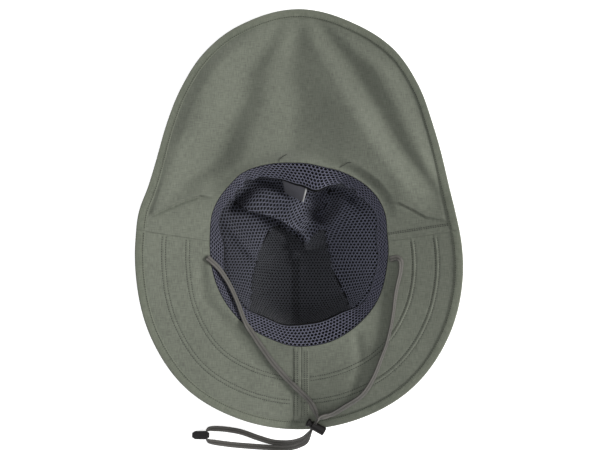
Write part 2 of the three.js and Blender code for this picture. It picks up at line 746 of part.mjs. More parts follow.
function cordPoint(row) {
  if (row.z !== undefined) {
    return new THREE.Vector3(row.x, row.y, row.z);
  }
  const roll = degrees(row.roll);
  const reach = Math.abs(Math.sin(roll)) * CORD.width / 2
    + Math.abs(Math.cos(roll)) * CORD.thickness / 2;
  const lift = (reach + CORD.clearance + (row.raise ?? 0)) / slopeNormal(row.x, row.y).z;
  return new THREE.Vector3(row.x, row.y, topHeight(row.x, row.y) + lift);
}

// The strap's route: even steps between the route's points, and its own sense of which way the
// flat face looks.
class StrapRoute extends THREE.CatmullRomCurve3 {
  constructor(rows) {
    super(rows.map(cordPoint), false, "centripetal");
    this.rows = rows;
  }

  getPointAt(share, target) {
    return this.getPoint(share, target);
  }

  rowValue(share, read) {
    const last = this.rows.length - 1;
    const place = share * last;
    const i = Math.min(Math.floor(place), last - 1);
    return THREE.MathUtils.lerp(read(this.rows[i]), read(this.rows[i + 1]), place - i);
  }

  computeFrenetFrames(segments) {
    const tangents = [];
    const normals = [];
    const binormals = [];
    for (let i = 0; i <= segments; i += 1) {
      const share = i / segments;
      const tangent = this.getTangent(share).normalize();
      const point = this.getPoint(share);
      const nearLock = this.rowValue(share, (row) => (row.inLock ? 1 : 0));
      const ground = point.z > topHeight(point.x, point.y) + CORD.width || nearLock > 0
        ? new THREE.Vector3(0, 0, 1)
        : slopeNormal(point.x, point.y);
      const face = ground.lerp(lockAxes.up, nearLock).normalize();
      const across = face.clone().cross(tangent).normalize();
      const over = tangent.clone().cross(across).normalize();
      const roll = degrees(this.rowValue(share, (row) => row.roll));
      const squeeze = this.rowValue(share, (row) => row.squeeze ?? 0);
      const width = THREE.MathUtils.lerp(1, CORD.squeezedWidth / CORD.width, squeeze);
      const depth = THREE.MathUtils.lerp(1, CORD.squeezedThickness / CORD.thickness, squeeze);
      const broad = across.clone().multiplyScalar(Math.cos(roll))
        .addScaledVector(over, Math.sin(roll));
      const thin = tangent.clone().cross(broad);
      tangents.push(tangent);
      normals.push(broad.multiplyScalar(width));
      binormals.push(thin.multiplyScalar(depth));
    }
    return { tangents, normals, binormals };
  }
}

function chinCord() {
  const half = { x: CORD.width / 2, y: CORD.thickness / 2 };
  const round = CORD.edgeRound;
  const section = new THREE.Shape([
    new THREE.Vector2(-half.x + round, -half.y),
    new THREE.Vector2(half.x - round, -half.y),
    new THREE.Vector2(half.x, -half.y + round),
    new THREE.Vector2(half.x, half.y - round),
    new THREE.Vector2(half.x - round, half.y),
    new THREE.Vector2(-half.x + round, half.y),
    new THREE.Vector2(-half.x, half.y - round),
    new THREE.Vector2(-half.x, -half.y + round),
  ]);
  const route = new StrapRoute(CORD_ROUTE);
  const strap = new THREE.ExtrudeGeometry(section, {
    steps: (CORD_ROUTE.length - 1) * CORD.stepsPerSpan,
    extrudePath: route,
    bevelEnabled: false,
  });
  return closedLathe(strap);
}

const hat = new THREE.Group();

function add(name, geometry, finish, frame) {
  const mesh = new THREE.Mesh(geometry, new THREE.MeshStandardMaterial(finish));
  mesh.name = name;
  if (frame) {
    mesh.applyMatrix4(frame);
  }
  hat.add(mesh);
}

const { nylon, binding: trim, mesh, lining: net, webbing, tape, plastic } = FINISHES;
const lastRow = CROWN_PROFILE.length - 1;
add("crown_top", crownPanel(0, CROWN_TOP_ROWS, 0), nylon);
add("crown_side", crownPanel(CROWN_TOP_ROWS, lastRow, GAP), nylon);
add("crown_lining", lining(), net);
add("sweatband", sweatband(), mesh);
add("brim_left", sheet(leftAngles, BRIM_MESH.rows, BRIM_THICKNESS), nylon);
add("brim_right", sheet(rightAngles, BRIM_MESH.rows, BRIM_THICKNESS), nylon);
add("brim_center_band", centerBand(), trim);
add("brim_binding", binding([...leftAngles, ...rightAngles], BRIM_THICKNESS), trim);
add("cape", sheet(capeAngles, CAPE_MESH.rows, CAPE_THICKNESS), nylon);
add("cape_binding", binding(capeAngles, CAPE_THICKNESS), trim);
add("label", label(), tape);
add("chin_cord", chinCord(), webbing);

const barrel = lockBarrel();
add("cord_lock_barrel", barrel.geometry, plastic, barrel.frame);
const button = lockButton();
add("cord_lock_button", button.geometry, plastic, button.frame);
add("cord_end_clip", clip(), plastic);

export default hat;
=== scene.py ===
"""The looks of a wide-brim sun hat that lies on its crown, with the underside of its brim up."""
import math

import bmesh
import bpy
import numpy as np
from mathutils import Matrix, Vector


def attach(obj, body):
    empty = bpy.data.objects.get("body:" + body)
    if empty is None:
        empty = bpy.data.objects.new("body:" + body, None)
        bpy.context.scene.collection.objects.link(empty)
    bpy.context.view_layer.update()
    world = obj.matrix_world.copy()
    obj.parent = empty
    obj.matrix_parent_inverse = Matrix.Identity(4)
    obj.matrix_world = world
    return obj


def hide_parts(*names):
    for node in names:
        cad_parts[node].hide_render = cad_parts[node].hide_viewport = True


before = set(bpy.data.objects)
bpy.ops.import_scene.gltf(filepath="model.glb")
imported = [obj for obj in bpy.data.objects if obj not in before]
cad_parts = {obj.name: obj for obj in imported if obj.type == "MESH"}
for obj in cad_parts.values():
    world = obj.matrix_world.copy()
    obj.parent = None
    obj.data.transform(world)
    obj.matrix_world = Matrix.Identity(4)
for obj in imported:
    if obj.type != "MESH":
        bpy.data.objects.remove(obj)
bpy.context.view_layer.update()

MM = 0.001
HAT = "hat"

# Driving sizes, in millimetres
GAP = 0.3
RIM_HEIGHT = 80
BRIM_THICKNESS = 3.4
CAPE_THICKNESS = 1.6
SWEATBAND_DROP = 16
BINDING_WIDTH = 9.5
BINDING_THICKNESS = 1.2
BINDING_GAP = 0.5
SEAM_ANGLE = 99
FRONT_SEAM_ANGLE = 0.9
BAND_LEFT, BAND_RIGHT, BAND_THICKNESS, BAND_GAP, BAND_START, BAND_END = -5.8, 10, 1, 0.8, 3, 11
DRAPE_POWER = 1.3

# Round the hat from the front, 0, to the back, 180: the radii of the head opening's rim and of
# the outer edge, the edge's height, how limply it drapes, how far the sweatband leans in, and
# how bluntly the lining hangs.
COLUMNS = ("angle", "rim_right", "rim_left", "edge_right", "edge_left", "edge_height", "drape",
           "band_right", "band_left", "hollow")
SECTIONS = np.array((
    (0, 94.2, 94.2, 182.3, 182.3, 34, 0, 20, 20, 8),
    (20, 94.8, 91.2, 181.1, 181.1, 60, 0, 22, 17, 8),
    (40, 93.7, 90.6, 180.2, 180.2, 82, 0, 17, 14, 6),
    (60, 93.2, 90.1, 175.5, 174.4, 94, 0, 14, 14, 4),
    (80, 91.2, 90.6, 170.2, 169.1, 100, 0, 14, 16, 2.8),
    (95, 92.2, 92.2, 167.2, 168.5, 101, 0.05, 14, 17, 2.4),
    (105, 93.7, 94.8, 166.5, 170.2, 99, 0.2, 14, 15, 2.4),
    (115, 97.9, 98.9, 170, 170.5, 92, 0.45, 13, 12, 2.5),
    (125, 99.9, 100.9, 179.7, 178.2, 80, 0.7, 12, 10, 2.5),
    (135, 99.4, 101.5, 194.9, 193.3, 64, 0.9, 11, 10, 2.5),
    (145, 97.6, 102.7, 216, 212.9, 46, 1, 11, 10, 2.5),
    (155, 95.8, 100.4, 235.8, 233.2, 29, 1, 16, 11, 2.5),
    (165, 93.9, 97.6, 247.6, 247.6, 14, 1, 23, 15, 2.5),
    (180, 94.8, 94.8, 257.7, 257.7, 3.8, 1, 22, 22, 2.5),
))

# Folds of the lining: a line through three places seen from above, its rise, its half width.
LINING_FOLDS = (
    (36, 76, 30, 58, 16, 38, -34, 12),
    (52, 74, 45, 50, 34, 28, 5, 6),
    (-40, 10, -24, 4, -6, 2, -9, 10),
    (5, 38, 14, 44, 26, 56, 5, 4),
    (-78, 36, -62, 16, -44, -6, 6, 5),
    (60, 40, 56, 16, 50, -8, 3, 10),
)

# The lining stays this far inside the rim.
LINING_INSET = 3.1

# Behind, the lining falls away under the sweatband: how deep, how far in from it, half width.
BACK_HOLLOW = (18, 4, 8)

# The tongue of lining that slumps in from the back wall: its front edge seen from above.
TONGUE = ((-76, 60), (-66, 58), (-48, 52), (-31, 49), (-13, 43), (-1, 34), (8, 24), (8, 12))
TONGUE_HEIGHT, TONGUE_REACH = 27, 30
TONGUE_OVERHANG = np.array((-7, -9.5, 0))


def smooth_at(table, values, column):
    """A smooth curve through a table's rows, level at both ends."""
    keys, heights = table[:, 0], table[:, column]
    slopes = np.zeros(len(keys))
    slopes[1:-1] = (heights[2:] - heights[:-2]) / (keys[2:] - keys[:-2])
    at = np.clip(np.asarray(values, float), keys[0], keys[-1])
    i = np.clip(np.searchsorted(keys, at, side="right") - 1, 0, len(keys) - 2)
    span = keys[i + 1] - keys[i]
    t = (at - keys[i]) / span
    t2, t3 = t * t, t * t * t
    return ((2 * t3 - 3 * t2 + 1) * heights[i] + (t3 - 2 * t2 + t) * span * slopes[i]
            + (3 * t2 - 2 * t3) * heights[i + 1] + (t3 - t2) * span * slopes[i + 1])


def wrapped(angle):
    """An angle round the hat in (-180, 180], where the right side is positive."""
    return -((180 - np.asarray(angle, float)) % 360 - 180)


def around(angle, name):
    """A column of SECTIONS at an angle, from the right or left side's own column if it has one."""
    turn = wrapped(angle)
    if name in COLUMNS:
        return smooth_at(SECTIONS, np.abs(turn), COLUMNS.index(name))
    right = smooth_at(SECTIONS, np.abs(turn), COLUMNS.index(name + "_right"))
    left = smooth_at(SECTIONS, np.abs(turn), COLUMNS.index(name + "_left"))
    return np.where(turn >= 0, right, left)


def smoothstep(x, low, high):
    t = np.clip((x - low) / (high - low), 0, 1)
    return t * t * (3 - 2 * t)


def off_segment(x, y, start, end):
    """The share of a segment at its nearest place to (x, y), and the way from there to it."""
    run_x, run_y = end[0] - start[0], end[1] - start[1]
    past_x, past_y = x - start[0], y - start[1]
    t = np.clip((past_x * run_x + past_y * run_y) / (run_x ** 2 + run_y ** 2), 0, 1)
    return t, past_x - t * run_x, past_y - t * run_y


def fold_rise(folds, x, y):
    """How far the folds lift a place seen from above: rounded ridges that fade at their ends."""
    rise, fade = np.zeros(np.broadcast(x, y).shape), 0.16
    for x0, y0, x1, y1, x2, y2, height, width in folds:
        nearest = np.full(rise.shape, np.inf)
        share = np.zeros(rise.shape)
        for start, end, first in (((x0, y0), (x1, y1), 0), ((x1, y1), (x2, y2), 0.5)):
            t, away_x, away_y = off_segment(x, y, start, end)
            distance = np.hypot(away_x, away_y)
            closer = distance < nearest
            nearest = np.where(closer, distance, nearest)
            share = np.where(closer, first + t / 2, share)
        ends = smoothstep(np.minimum(share, 1 - share), -fade / 2, fade)
        rise += height * ends * bell(nearest, width)
    return rise


def unit(vectors):
    """One vector, or each of a list of them, made 1 long."""
    return vectors / np.linalg.norm(vectors, axis=-1, keepdims=True)


def run_along(line):
    """How far along a line of points each of them lies."""
    return np.concatenate(([0], np.cumsum(np.linalg.norm(np.diff(line, axis=0), axis=1))))


def spread_over(places, run, line):
    """The line's points, or what goes with them, at other distances along it."""
    return np.stack([np.interp(places, run, line[:, k]) for k in range(3)], 1)


def full_turn(sides):
    return np.linspace(0, 2 * np.pi, sides, endpoint=False)


def bell(distance, width):
    """1 at no distance, and falling smoothly to nothing beyond the width."""
    return np.exp(-(distance / width) ** 2)


def polar(angle, radius, height):
    """A place from the angle round the hat, the distance from its middle and the height."""
    a = np.radians(angle)
    return np.stack(np.broadcast_arrays(radius * np.sin(a), -radius * np.cos(a), height), -1)


def flat_height(angle, share):
    """The brim and cape's underside without folds."""
    low, drape = around(angle, "edge_height"), around(angle, "drape")
    away = np.clip(1 - share, 0, 1)
    form = (1 - drape) * (1 - share) + drape * away ** DRAPE_POWER
    return low + (RIM_HEIGHT - low) * form


def top_height(x, y):
    """Height of whatever faces up at a place, as the frame has it."""
    radius = math.hypot(x, y)
    angle = math.degrees(math.atan2(x, -y))
    rim, edge = float(around(angle, "rim")), float(around(angle, "edge"))
    if radius > edge:
        return 0
    if radius < rim:
        return RIM_HEIGHT - SWEATBAND_DROP * (rim - radius) / float(around(angle, "band"))
    trim = 0
    on_band = (y < 0 and BAND_LEFT - BAND_START < x < BAND_RIGHT + BAND_START
               and rim + BAND_START < radius < edge - BAND_END)
    if on_band:
        trim = BAND_GAP + BAND_THICKNESS
    if radius > edge - BINDING_WIDTH:
        trim = BINDING_GAP + BINDING_THICKNESS
    return float(flat_height(angle, (radius - rim) / (edge - rim))) + trim


# Camera, straight above the hat, as in the photograph

PHOTO_WIDTH = 600
SCALE = 1.03 * MM
CAMERA_RISE = 4
LOOK_AT = (0.0010, 0.0309)
SENSOR = 36


def make_camera():
    data = bpy.data.cameras.new("camera")
    data.sensor_width = SENSOR
    data.lens = SENSOR * CAMERA_RISE / (PHOTO_WIDTH * SCALE)
    data.clip_start = 0.1
    data.clip_end = 20
    camera = bpy.data.objects.new("camera", data)
    camera.location = (*LOOK_AT, CAMERA_RISE + RIM_HEIGHT * MM)
    bpy.context.scene.collection.objects.link(camera)
    bpy.context.scene.camera = camera


make_camera()


# Materials

def shade(red, green, blue):
    """A linear colour from the usual 0 to 255 values."""
    def linear(value):
        v = value / 255
        return v / 12.92 if v <= 0.04045 else ((v + 0.055) / 1.055) ** 2.4
    return (linear(red), linear(green), linear(blue), 1)


class Nodes:
    """A material's nodes, made and linked by short calls."""

    def __init__(self, name):
        self.material = bpy.data.materials.new(name)
        self.material.use_nodes = True
        self.tree = self.material.node_tree
        self.shader = self.tree.nodes["Principled BSDF"]

    def add(self, kind, inputs=(), **settings):
        node = self.tree.nodes.new("ShaderNode" + kind)
        for key, value in settings.items():
            setattr(node, key, value)
        for key, value in dict(inputs).items():
            if isinstance(value, bpy.types.NodeSocket):
                self.tree.links.new(value, node.inputs[key])
            else:
                node.inputs[key].default_value = value
        return node

    def link(self, output, name):
        self.tree.links.new(output, self.shader.inputs[name])

    def math(self, operation, a, b=0.0):
        return self.add("Math", {0: a, 1: b}, operation=operation).outputs[0]

    def mix(self, factor, a, b):
        node = self.add("Mix", {"Factor": factor, 6: a, 7: b}, data_type="RGBA")
        return node.outputs[2]

    def ramp(self, value, low, high, start=0.0, end=1.0):
        node = self.add("MapRange", {"Value": value, "From Min": low, "From Max": high,
                                               "To Min": start, "To Max": end})
        return node.outputs[0]

    def scaled(self, color, amount):
        node = self.add("VectorMath", {0: color, "Scale": amount}, operation="SCALE")
        return node.outputs[0]

    def bumped(self, height, strength, distance):
        inputs = {"Strength": strength, "Distance": distance, "Height": height}
        self.link(self.add("Bump", inputs).outputs[0], "Normal")

    def settle(self, **values):
        for name, value in values.items():
            self.shader.inputs[name.replace("_", " ")].default_value = value

    def noise(self, vector, scale, detail=2.0):
        inputs = {"Vector": vector, "Scale": scale, "Detail": detail}
        return self.add("TexNoise", inputs).outputs["Fac"]

    def stretched(self, vector, scale):
        return self.add("Mapping", {"Vector": vector, "Scale": scale}).outputs[0]


# Slubs along each of the two threads: how often one comes, across and along, in a metre.
SLUB_SIZES = ((130, 1500, 1), (1500, 130, 1))


def woven(name, light, dark, threads, relief, roughness, sheen, slub=0.35, painted_light_to_right=0, painted_shade_half_width=0):
    """Plain-woven cloth: crossed threads, slubs along both threads, and soft broad mottling. The
    amount after slub says how much paler it is painted towards the hat's right and darker towards its
    left: painted light and shade. The last amount is half the width of a flat strap, which gets a
    painted shade line along its middle and painted shade along its edges."""
    n, light, dark = Nodes(name), shade(*light), shade(*dark)
    cloth = n.add("UVMap").outputs[0]
    parts = n.add("SeparateXYZ", {0: cloth})
    across, along = (n.math("SINE", n.math("MULTIPLY", parts.outputs[k], 2 * math.pi * threads))
                     for k in (0, 1))
    weave = n.math("MULTIPLY", across, along)
    slubs = n.math("ADD", *[n.noise(n.stretched(cloth, size), 1.0) for size in SLUB_SIZES])
    broad = n.noise(cloth, 16.0, 4.0)
    tone = n.math("ADD", n.math("MULTIPLY", n.math("SUBTRACT", slubs, 1.0), slub),
                  n.math("MULTIPLY", n.math("SUBTRACT", broad, 0.5), 0.5))
    color = n.mix(n.ramp(tone, -0.35, 0.35), dark, light)
    # Painted light and shade: the cloth is painted paler towards the hat's right and darker towards
    # its left, to even out the key lamp, which from the right lights only the left wall inside the
    # crown.
    if painted_light_to_right:
        side = n.add("SeparateXYZ", {0: n.add("TexCoord").outputs["Object"]})
        color = n.scaled(color, n.ramp(side.outputs[0], -0.08, 0.08, 1 - painted_light_to_right, 1 + painted_light_to_right))
    # Painted shade: a flat strap is darkened along its middle, for the shade in its groove, and along
    # both edges, for the shade where it rolls away from the light.
    if painted_shade_half_width:
        off = n.math("DIVIDE", n.math("ABSOLUTE", parts.outputs[1]), painted_shade_half_width)
        middle, edges = n.ramp(off, 0.03, 0.3, 0.45, 1), n.ramp(off, 0.78, 0.98, 1, 0.4)
        color = n.scaled(color, n.math("MULTIPLY", middle, edges))
    n.link(color, "Base Color")
    height = n.math("ADD", n.math("MULTIPLY", weave, 0.5), n.math("MULTIPLY", slubs, 0.8))
    n.bumped(height, relief, 0.12 * MM)
    n.settle(Roughness=roughness, Sheen_Weight=sheen, Specular_IOR_Level=0.25)
    return n.material


def plastic(name, color):
    n = Nodes(name)
    place = n.add("TexCoord").outputs["Object"]
    grain = n.noise(place, 2600.0)
    scuffs = n.noise(place, 420.0, 5.0)
    n.link(n.mix(n.ramp(scuffs, 0.35, 0.75), color, tuple(1.7 * c for c in color[:3]) + (1,)),
           "Base Color")
    n.link(n.ramp(scuffs, -0.6, 1.6), "Roughness")
    n.settle(Specular_IOR_Level=0.22)
    n.bumped(grain, 0.25, 0.06 * MM)
    return n.material


OLIVE = woven("olive nylon", (102, 106, 95), (74, 77, 69), 2400, 0.6, 0.75, 0.1, 1.0)
TRIM = woven("olive binding", (103, 107, 95), (77, 81, 71), 1500, 0.9, 0.8, 0.1, 1.0)
THREAD = woven("olive thread", (40, 42, 36), (30, 32, 27), 3000, 0.6, 0.7, 0.1)
# The lining, its panel and the sweatband are painted paler towards the hat's right and darker towards
# its left: painted light and shade.
LINING = woven("lining mesh", (104, 106, 121), (79, 81, 94), 2600, 0.8, 0.8, 0.1, painted_light_to_right=0.55)
PANEL = woven("lining panel", (88, 90, 97), (67, 69, 75), 2600, 0.8, 0.8, 0.1, painted_light_to_right=0.5)
BAND = woven("sweatband mesh", (106, 107, 124), (82, 83, 98), 2400, 0.8, 0.75, 0.1, painted_light_to_right=0.3)
# Painted shade: a near-black sheet behind the mesh and on its hole walls, for the shadow seen through
# each hole.
PAINTED_SHADE_BACKING = woven("painted shade backing", (3, 3, 6), (2, 2, 3), 2000, 0.6, 0.95, 0.0)
LABEL = woven("label tape", (66, 66, 72), (54, 54, 60), 3200, 0.5, 0.6, 0.1)
# Painted highlight: a pale strip for the label's right edge, where it catches the key light.
LABEL_HIGHLIGHT = woven("painted label highlight", (170, 170, 170), (140, 140, 140), 3200, 0.5, 0.7, 0.0)
# The cord's darker middle line and darker edges are painted shade.
WEBBING = woven("cord webbing", (92, 90, 86), (68, 66, 63), 1700, 1.0, 0.7, 0.15, 0.7, painted_shade_half_width=0.003)
PLASTIC = plastic("dark plastic", shade(8, 6, 6))


# Mesh making

def shown_name(name):
    """A piece's own name, which differs from that of the node that it stands for."""
    return name + "_shown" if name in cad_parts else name


def mesh_object(name, points, faces, material, uv=None, smooth=True):
    """An object from points in millimetres. uv, if given, is one (u, v) in metres a point."""
    mesh = bpy.data.meshes.new(name)
    mesh.from_pydata((np.asarray(points, float) * MM).tolist(), [], faces)
    mesh.validate()
    if uv is not None:
        layer = mesh.uv_layers.new(name="cloth")
        corners = np.empty(len(mesh.loops), int)
        mesh.loops.foreach_get("vertex_index", corners)
        layer.data.foreach_set("uv", np.asarray(uv, float)[corners].ravel())
    mesh.polygons.foreach_set("use_smooth", [smooth] * len(mesh.polygons))
    mesh.materials.append(material)
    mesh.update()
    piece = bpy.data.objects.new(shown_name(name), mesh)
    bpy.context.scene.collection.objects.link(piece)
    return piece


def ring_faces(rows, columns, close_rows=False, close_columns=False):
    """The four-sided faces of a grid of points."""
    i = np.arange(rows if close_rows else rows - 1)
    k = np.arange(columns if close_columns else columns - 1)
    a, b = np.meshgrid(i, k, indexing="ij")
    nexta, nextb = (a + 1) % rows, (b + 1) % columns
    quads = np.stack((a * columns + b, nexta * columns + b, nexta * columns + nextb,
                      a * columns + nextb), -1)
    return quads.reshape(-1, 4)


def tube_faces(rows, columns, ring=False):
    """The faces of a closed body through rows of points. A ring has no ends to close."""
    faces = ring_faces(rows, columns, ring, True).tolist()
    if not ring:
        faces += [list(range(columns))[::-1], [(rows - 1) * columns + k for k in range(columns)]]
    return faces


def swept(name, loops, material, ring=False, uv=None):
    """A closed body through loops of points, each the outline of one cut through it."""
    loops = np.asarray(loops, float)
    rows, columns, _ = loops.shape
    if uv is None:
        steps_u = run_along(loops.mean(1))
        across = np.linalg.norm(np.diff(loops, axis=1, append=loops[:, :1]), axis=2).mean(0)
        steps_v = np.concatenate(([0], np.cumsum(across)[:-1]))
        uv = np.stack(np.meshgrid(steps_u, steps_v, indexing="ij"), -1).reshape(-1, 2) * MM
    faces = tube_faces(rows, columns, ring)
    return outward(mesh_object(name, loops.reshape(-1, 3), faces, material, uv))


def outward(piece):
    """Turns a closed piece's faces to point out."""
    body = bmesh.new()
    body.from_mesh(piece.data)
    bmesh.ops.recalc_face_normals(body, faces=body.faces)
    body.to_mesh(piece.data)
    body.free()
    return piece


def slab(name, top, bottom, material, ring=False, uv=None):
    """A closed sheet from the grid of its upper face and that of its lower face."""
    loops = np.concatenate((top, bottom[:, ::-1]), axis=1)
    if uv is not None:
        uv = np.concatenate((uv, uv[:, ::-1]), axis=1).reshape(-1, 2)
    return swept(name, loops, material, ring, uv)


def joined(name, parts):
    """One object from several, with all their materials."""
    with bpy.context.temp_override(active_object=parts[0], selected_editable_objects=parts):
        bpy.ops.object.join()
    parts[0].name = shown_name(name)
    return parts[0]


def dress(piece, slot, *nodes):
    """Every piece made here rides on the hat."""
    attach(piece, HAT)
    if nodes:
        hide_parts(*nodes)


# Brim and cape

# Rows of quilting on each side of the brim: distance in from the edge at the front and at the
# back seam.
QUILT_ROWS = {
    "right": ((27.6, 24), (31.6, 28), (52, 47.6), (55.8, 51.4)),
    "left": ((27.2, 27.2), (31.2, 31.2), (51.8, 51.8), (55.6, 55.6)),
}
BRIM_FOLDS = (
    (-102, -5, -98, -46, -73, -73, -2.2, 6),
    (-73, -73, -44, -109, -12, -142, -1.8, 7),
    (58, -78, 64, -110, 58, -150, -2.3, 6),
)


def quilt_inset(angle, row):
    """How far in from the edge a quilting row runs, at an angle round the hat."""
    turn = wrapped(angle)
    share = np.abs(turn) / SEAM_ANGLE
    on_right, on_left = (front + (back - front) * share
                         for front, back in (QUILT_ROWS[side][row] for side in ("right", "left")))
    return np.where(turn >= 0, on_right, on_left)


def quilting(angle, inset):
    """Grooves along the quilting rows, and the soft ridge between the two rows of a pair."""
    on_right = smoothstep(wrapped(angle), -1, 1)
    groove, ridge = 0.25 + 0.2 * on_right, 0.1 + 0.45 * on_right
    groove_width, ridge_width = 0.8, 1.5
    depth = np.zeros(np.broadcast(angle, inset).shape)
    for pair in ((0, 1), (2, 3)):
        for row in pair:
            depth -= groove * bell(inset - quilt_inset(angle, row), groove_width)
        middle = (quilt_inset(angle, pair[0]) + quilt_inset(angle, pair[1])) / 2
        depth += ridge * bell(inset - middle, ridge_width)
    return depth


# Crests and valleys across the cape at distances y to the back: each one's x and its rise.
CAPE_RELIEF = (
    (242, (-38, 2), (-18, -1.5), (-13, 0), (-2, -1.5), (13, 0.5), (22, -2), (34, 1)),
    (224, (-64, 5), (-27, -2.5), (-19, 0), (-2, -4), (14, 1.5), (32, -4), (49, 2)),
    (192, (-88, 6), (-50, -4), (-32, 0), (-9, -5), (34, 5), (57, -6), (84, 5)),
    (161, (-99, 6.5), (-57, -5), (-34, 0.5), (-1, -7), (49, 9.5), (75, -4.5), (100, 7)),
    (130, (-112, 6.5), (-72, -5.5), (-47, 1.5), (-3, -8), (68, 15.5), (92, -0.5), (113, 8)),
    (109, (-127, 5), (-78, -5.5), (-55, 2.5), (-9, -7), (80, 17), (105, 1), (122, 8)),
    (93, (-132, 4), (-90, -4), (-60, 2), (-9, -6), (92, 16), (117, 1.5), (131, 7)),
    (78, (-137, 3), (-112, -3), (-88, 0), (1, -4), (102, 13), (130, 0), (141, 4)),
    (58, (-146, 1), (-130, -2), (-100, 0), (1, 0), (112, 5), (145, -2), (153, 0)),
    (36, (-150, 0), (-140, 0), (-110, 0), (1, 0), (100, 0), (150, -1), (158, 0)),
)

# Pleats beside the seams: the cloth behind the line laps over the cloth in front of it.
PLEATS = (
    (((-158, 38), (-139, 47), (-117, 56.5), (-102, 61), (-88, 58)), 3.6, 16),
    (((91, 53), (103, 53), (118, 45.5), (131, 38), (156, 35)), 1.8, 24),
)


def cape_relief(x, y):
    """Crests and valleys that fan out from the tip, a little rounded."""
    levels = [row[0] for row in CAPE_RELIEF[::-1]]
    table = np.array([row[1:] for row in CAPE_RELIEF[::-1]])
    at, high = ([np.interp(y, levels, column) for column in table[..., k].T] for k in (0, 1))
    total = np.zeros(np.shape(x))
    spread, fade = (-5, -2.5, 0, 2.5, 5), 20
    for shift in spread:
        here = x + shift
        level = high[0] * bell(np.clip(at[0] - here, 0, None), fade)
        for k in range(len(at) - 1):
            t = np.clip((here - at[k]) / np.maximum(at[k + 1] - at[k], 1), 0, 1)
            level = level + (high[k + 1] - high[k]) * (0.5 * t + 0.5 * t * t * (3 - 2 * t))
        total += level * (1 - np.clip((here - at[-1]) / fade, 0, 1))
    return total / len(spread)


def pleat_rise(x, y):
    """Cloth that rises sharply behind each pleat's line and settles again further back."""
    rise = np.zeros(np.shape(x))
    for line, height, reach in PLEATS:
        places, levels = np.transpose(line)
        front = np.interp(x, places, levels)
        low, high = places[0], places[-1]
        ends = smoothstep(x, low - 2, low + 14) * (1 - smoothstep(x, high - 14, high + 2))
        behind = y - front
        rise += height * ends * smoothstep(behind, -0.3, 1) * np.exp(-np.clip(behind, 0, None) / reach)
        rise -= 0.4 * height * ends * bell(behind + 1, 1.5)
    return rise


def underside(angle, radius, lift=0.0):
    """A place on the finished underside of the brim or cape."""
    rim, edge = around(angle, "rim"), around(angle, "edge")
    share = (radius - rim) / (edge - rim)
    place = polar(angle, radius, 0)
    x, y = place[..., 0], place[..., 1]
    on_brim = smoothstep(SEAM_ANGLE - np.abs(wrapped(angle)), 0, 3)
    inset = edge - radius
    quiet = smoothstep(inset, BINDING_WIDTH, 18) * smoothstep(radius - rim, 1, 8)
    extra = on_brim * (quilting(angle, inset) + quiet * fold_rise(BRIM_FOLDS, x, y))
    on_cape = smoothstep(np.abs(wrapped(angle)) - SEAM_ANGLE, 1, 6)
    settled = smoothstep(inset, 0, 24) * smoothstep(radius - rim, 1.5, 14)
    extra = extra + on_cape * settled * cape_relief(x, y)
    extra = extra + smoothstep(inset, BINDING_WIDTH, 14) * smoothstep(radius - rim, 0.5, 4) * (
        on_cape * pleat_rise(x, y))
    place[..., 2] = flat_height(angle, share) + extra + lift
    return place


def cloth_grid(start, end, steps, rows):
    """The angles and radii of a grid that ends inside the binding."""
    angles = np.linspace(start, end, steps)[:, None]
    inner = around(angles, "rim") + GAP
    outer = around(angles, "edge") - BINDING_THICKNESS - BINDING_GAP
    return angles, inner + (outer - inner) * np.linspace(0, 1, rows)


def brim_half(name, start, end):
    angles, radii = cloth_grid(start, end, 150, 110)
    top = underside(angles, radii)
    bottom = underside(angles, radii, -BRIM_THICKNESS)
    piece = slab(name, top, bottom, OLIVE, uv=top[..., :2] * MM)
    dress(piece, "olive_nylon", name)


def cape():
    lap = 0.25
    angles, radii = cloth_grid(SEAM_ANGLE - lap, 360 - SEAM_ANGLE + lap, 330, 130)
    lip = 0.35 * (1 - smoothstep(np.abs(wrapped(angles)) - SEAM_ANGLE, 0, 1.5))
    top = underside(angles, radii, lip)
    bottom = underside(angles, radii, -CAPE_THICKNESS)
    piece = slab("cape", top, bottom, OLIVE, uv=top[..., :2] * MM)
    dress(piece, "olive_nylon", "cape")


def binding(name, start, end, sheet_thickness, steps):
    """Folded tape round the edge: both legs and the rounded fold between them."""
    angles = np.linspace(start, end, steps)[:, None]
    edge = around(angles, "edge")
    leg, lift, bulge = 0.5, 0.12, 1.3
    half = sheet_thickness / 2 + lift + leg
    turns = np.radians(np.linspace(90, -90, 9))
    under = -sheet_thickness - lift
    profile = [(BINDING_WIDTH, lift + 0.1), (BINDING_WIDTH - 0.3, lift + leg - 0.05),
               (6, lift + leg + 0.15)]
    profile += [(bulge - bulge * math.cos(t), half * math.sin(t) - sheet_thickness / 2) for t in turns]
    profile += [(BINDING_WIDTH - 0.3, under - leg), (BINDING_WIDTH, under - 0.1),
                (BINDING_WIDTH, under + 0.06)]
    profile += [(bulge * 0.8, under + 0.06), (bulge * 0.8, lift - 0.06), (BINDING_WIDTH, lift - 0.06)]
    loops = np.stack([underside(angles[:, 0], edge[:, 0] - inset, rise) for inset, rise in profile], 1)
    dress(swept(name, loops, TRIM), "olive_binding", name)


brim_half("brim_left", -SEAM_ANGLE + 0.12, FRONT_SEAM_ANGLE - 0.01)
brim_half("brim_right", FRONT_SEAM_ANGLE + 0.01, SEAM_ANGLE - 0.12)
cape()
binding("brim_binding", -SEAM_ANGLE - 0.15, SEAM_ANGLE + 0.15, BRIM_THICKNESS, 300)
binding("cape_binding", SEAM_ANGLE - 0.1, 360 - SEAM_ANGLE + 0.1, CAPE_THICKNESS, 300)


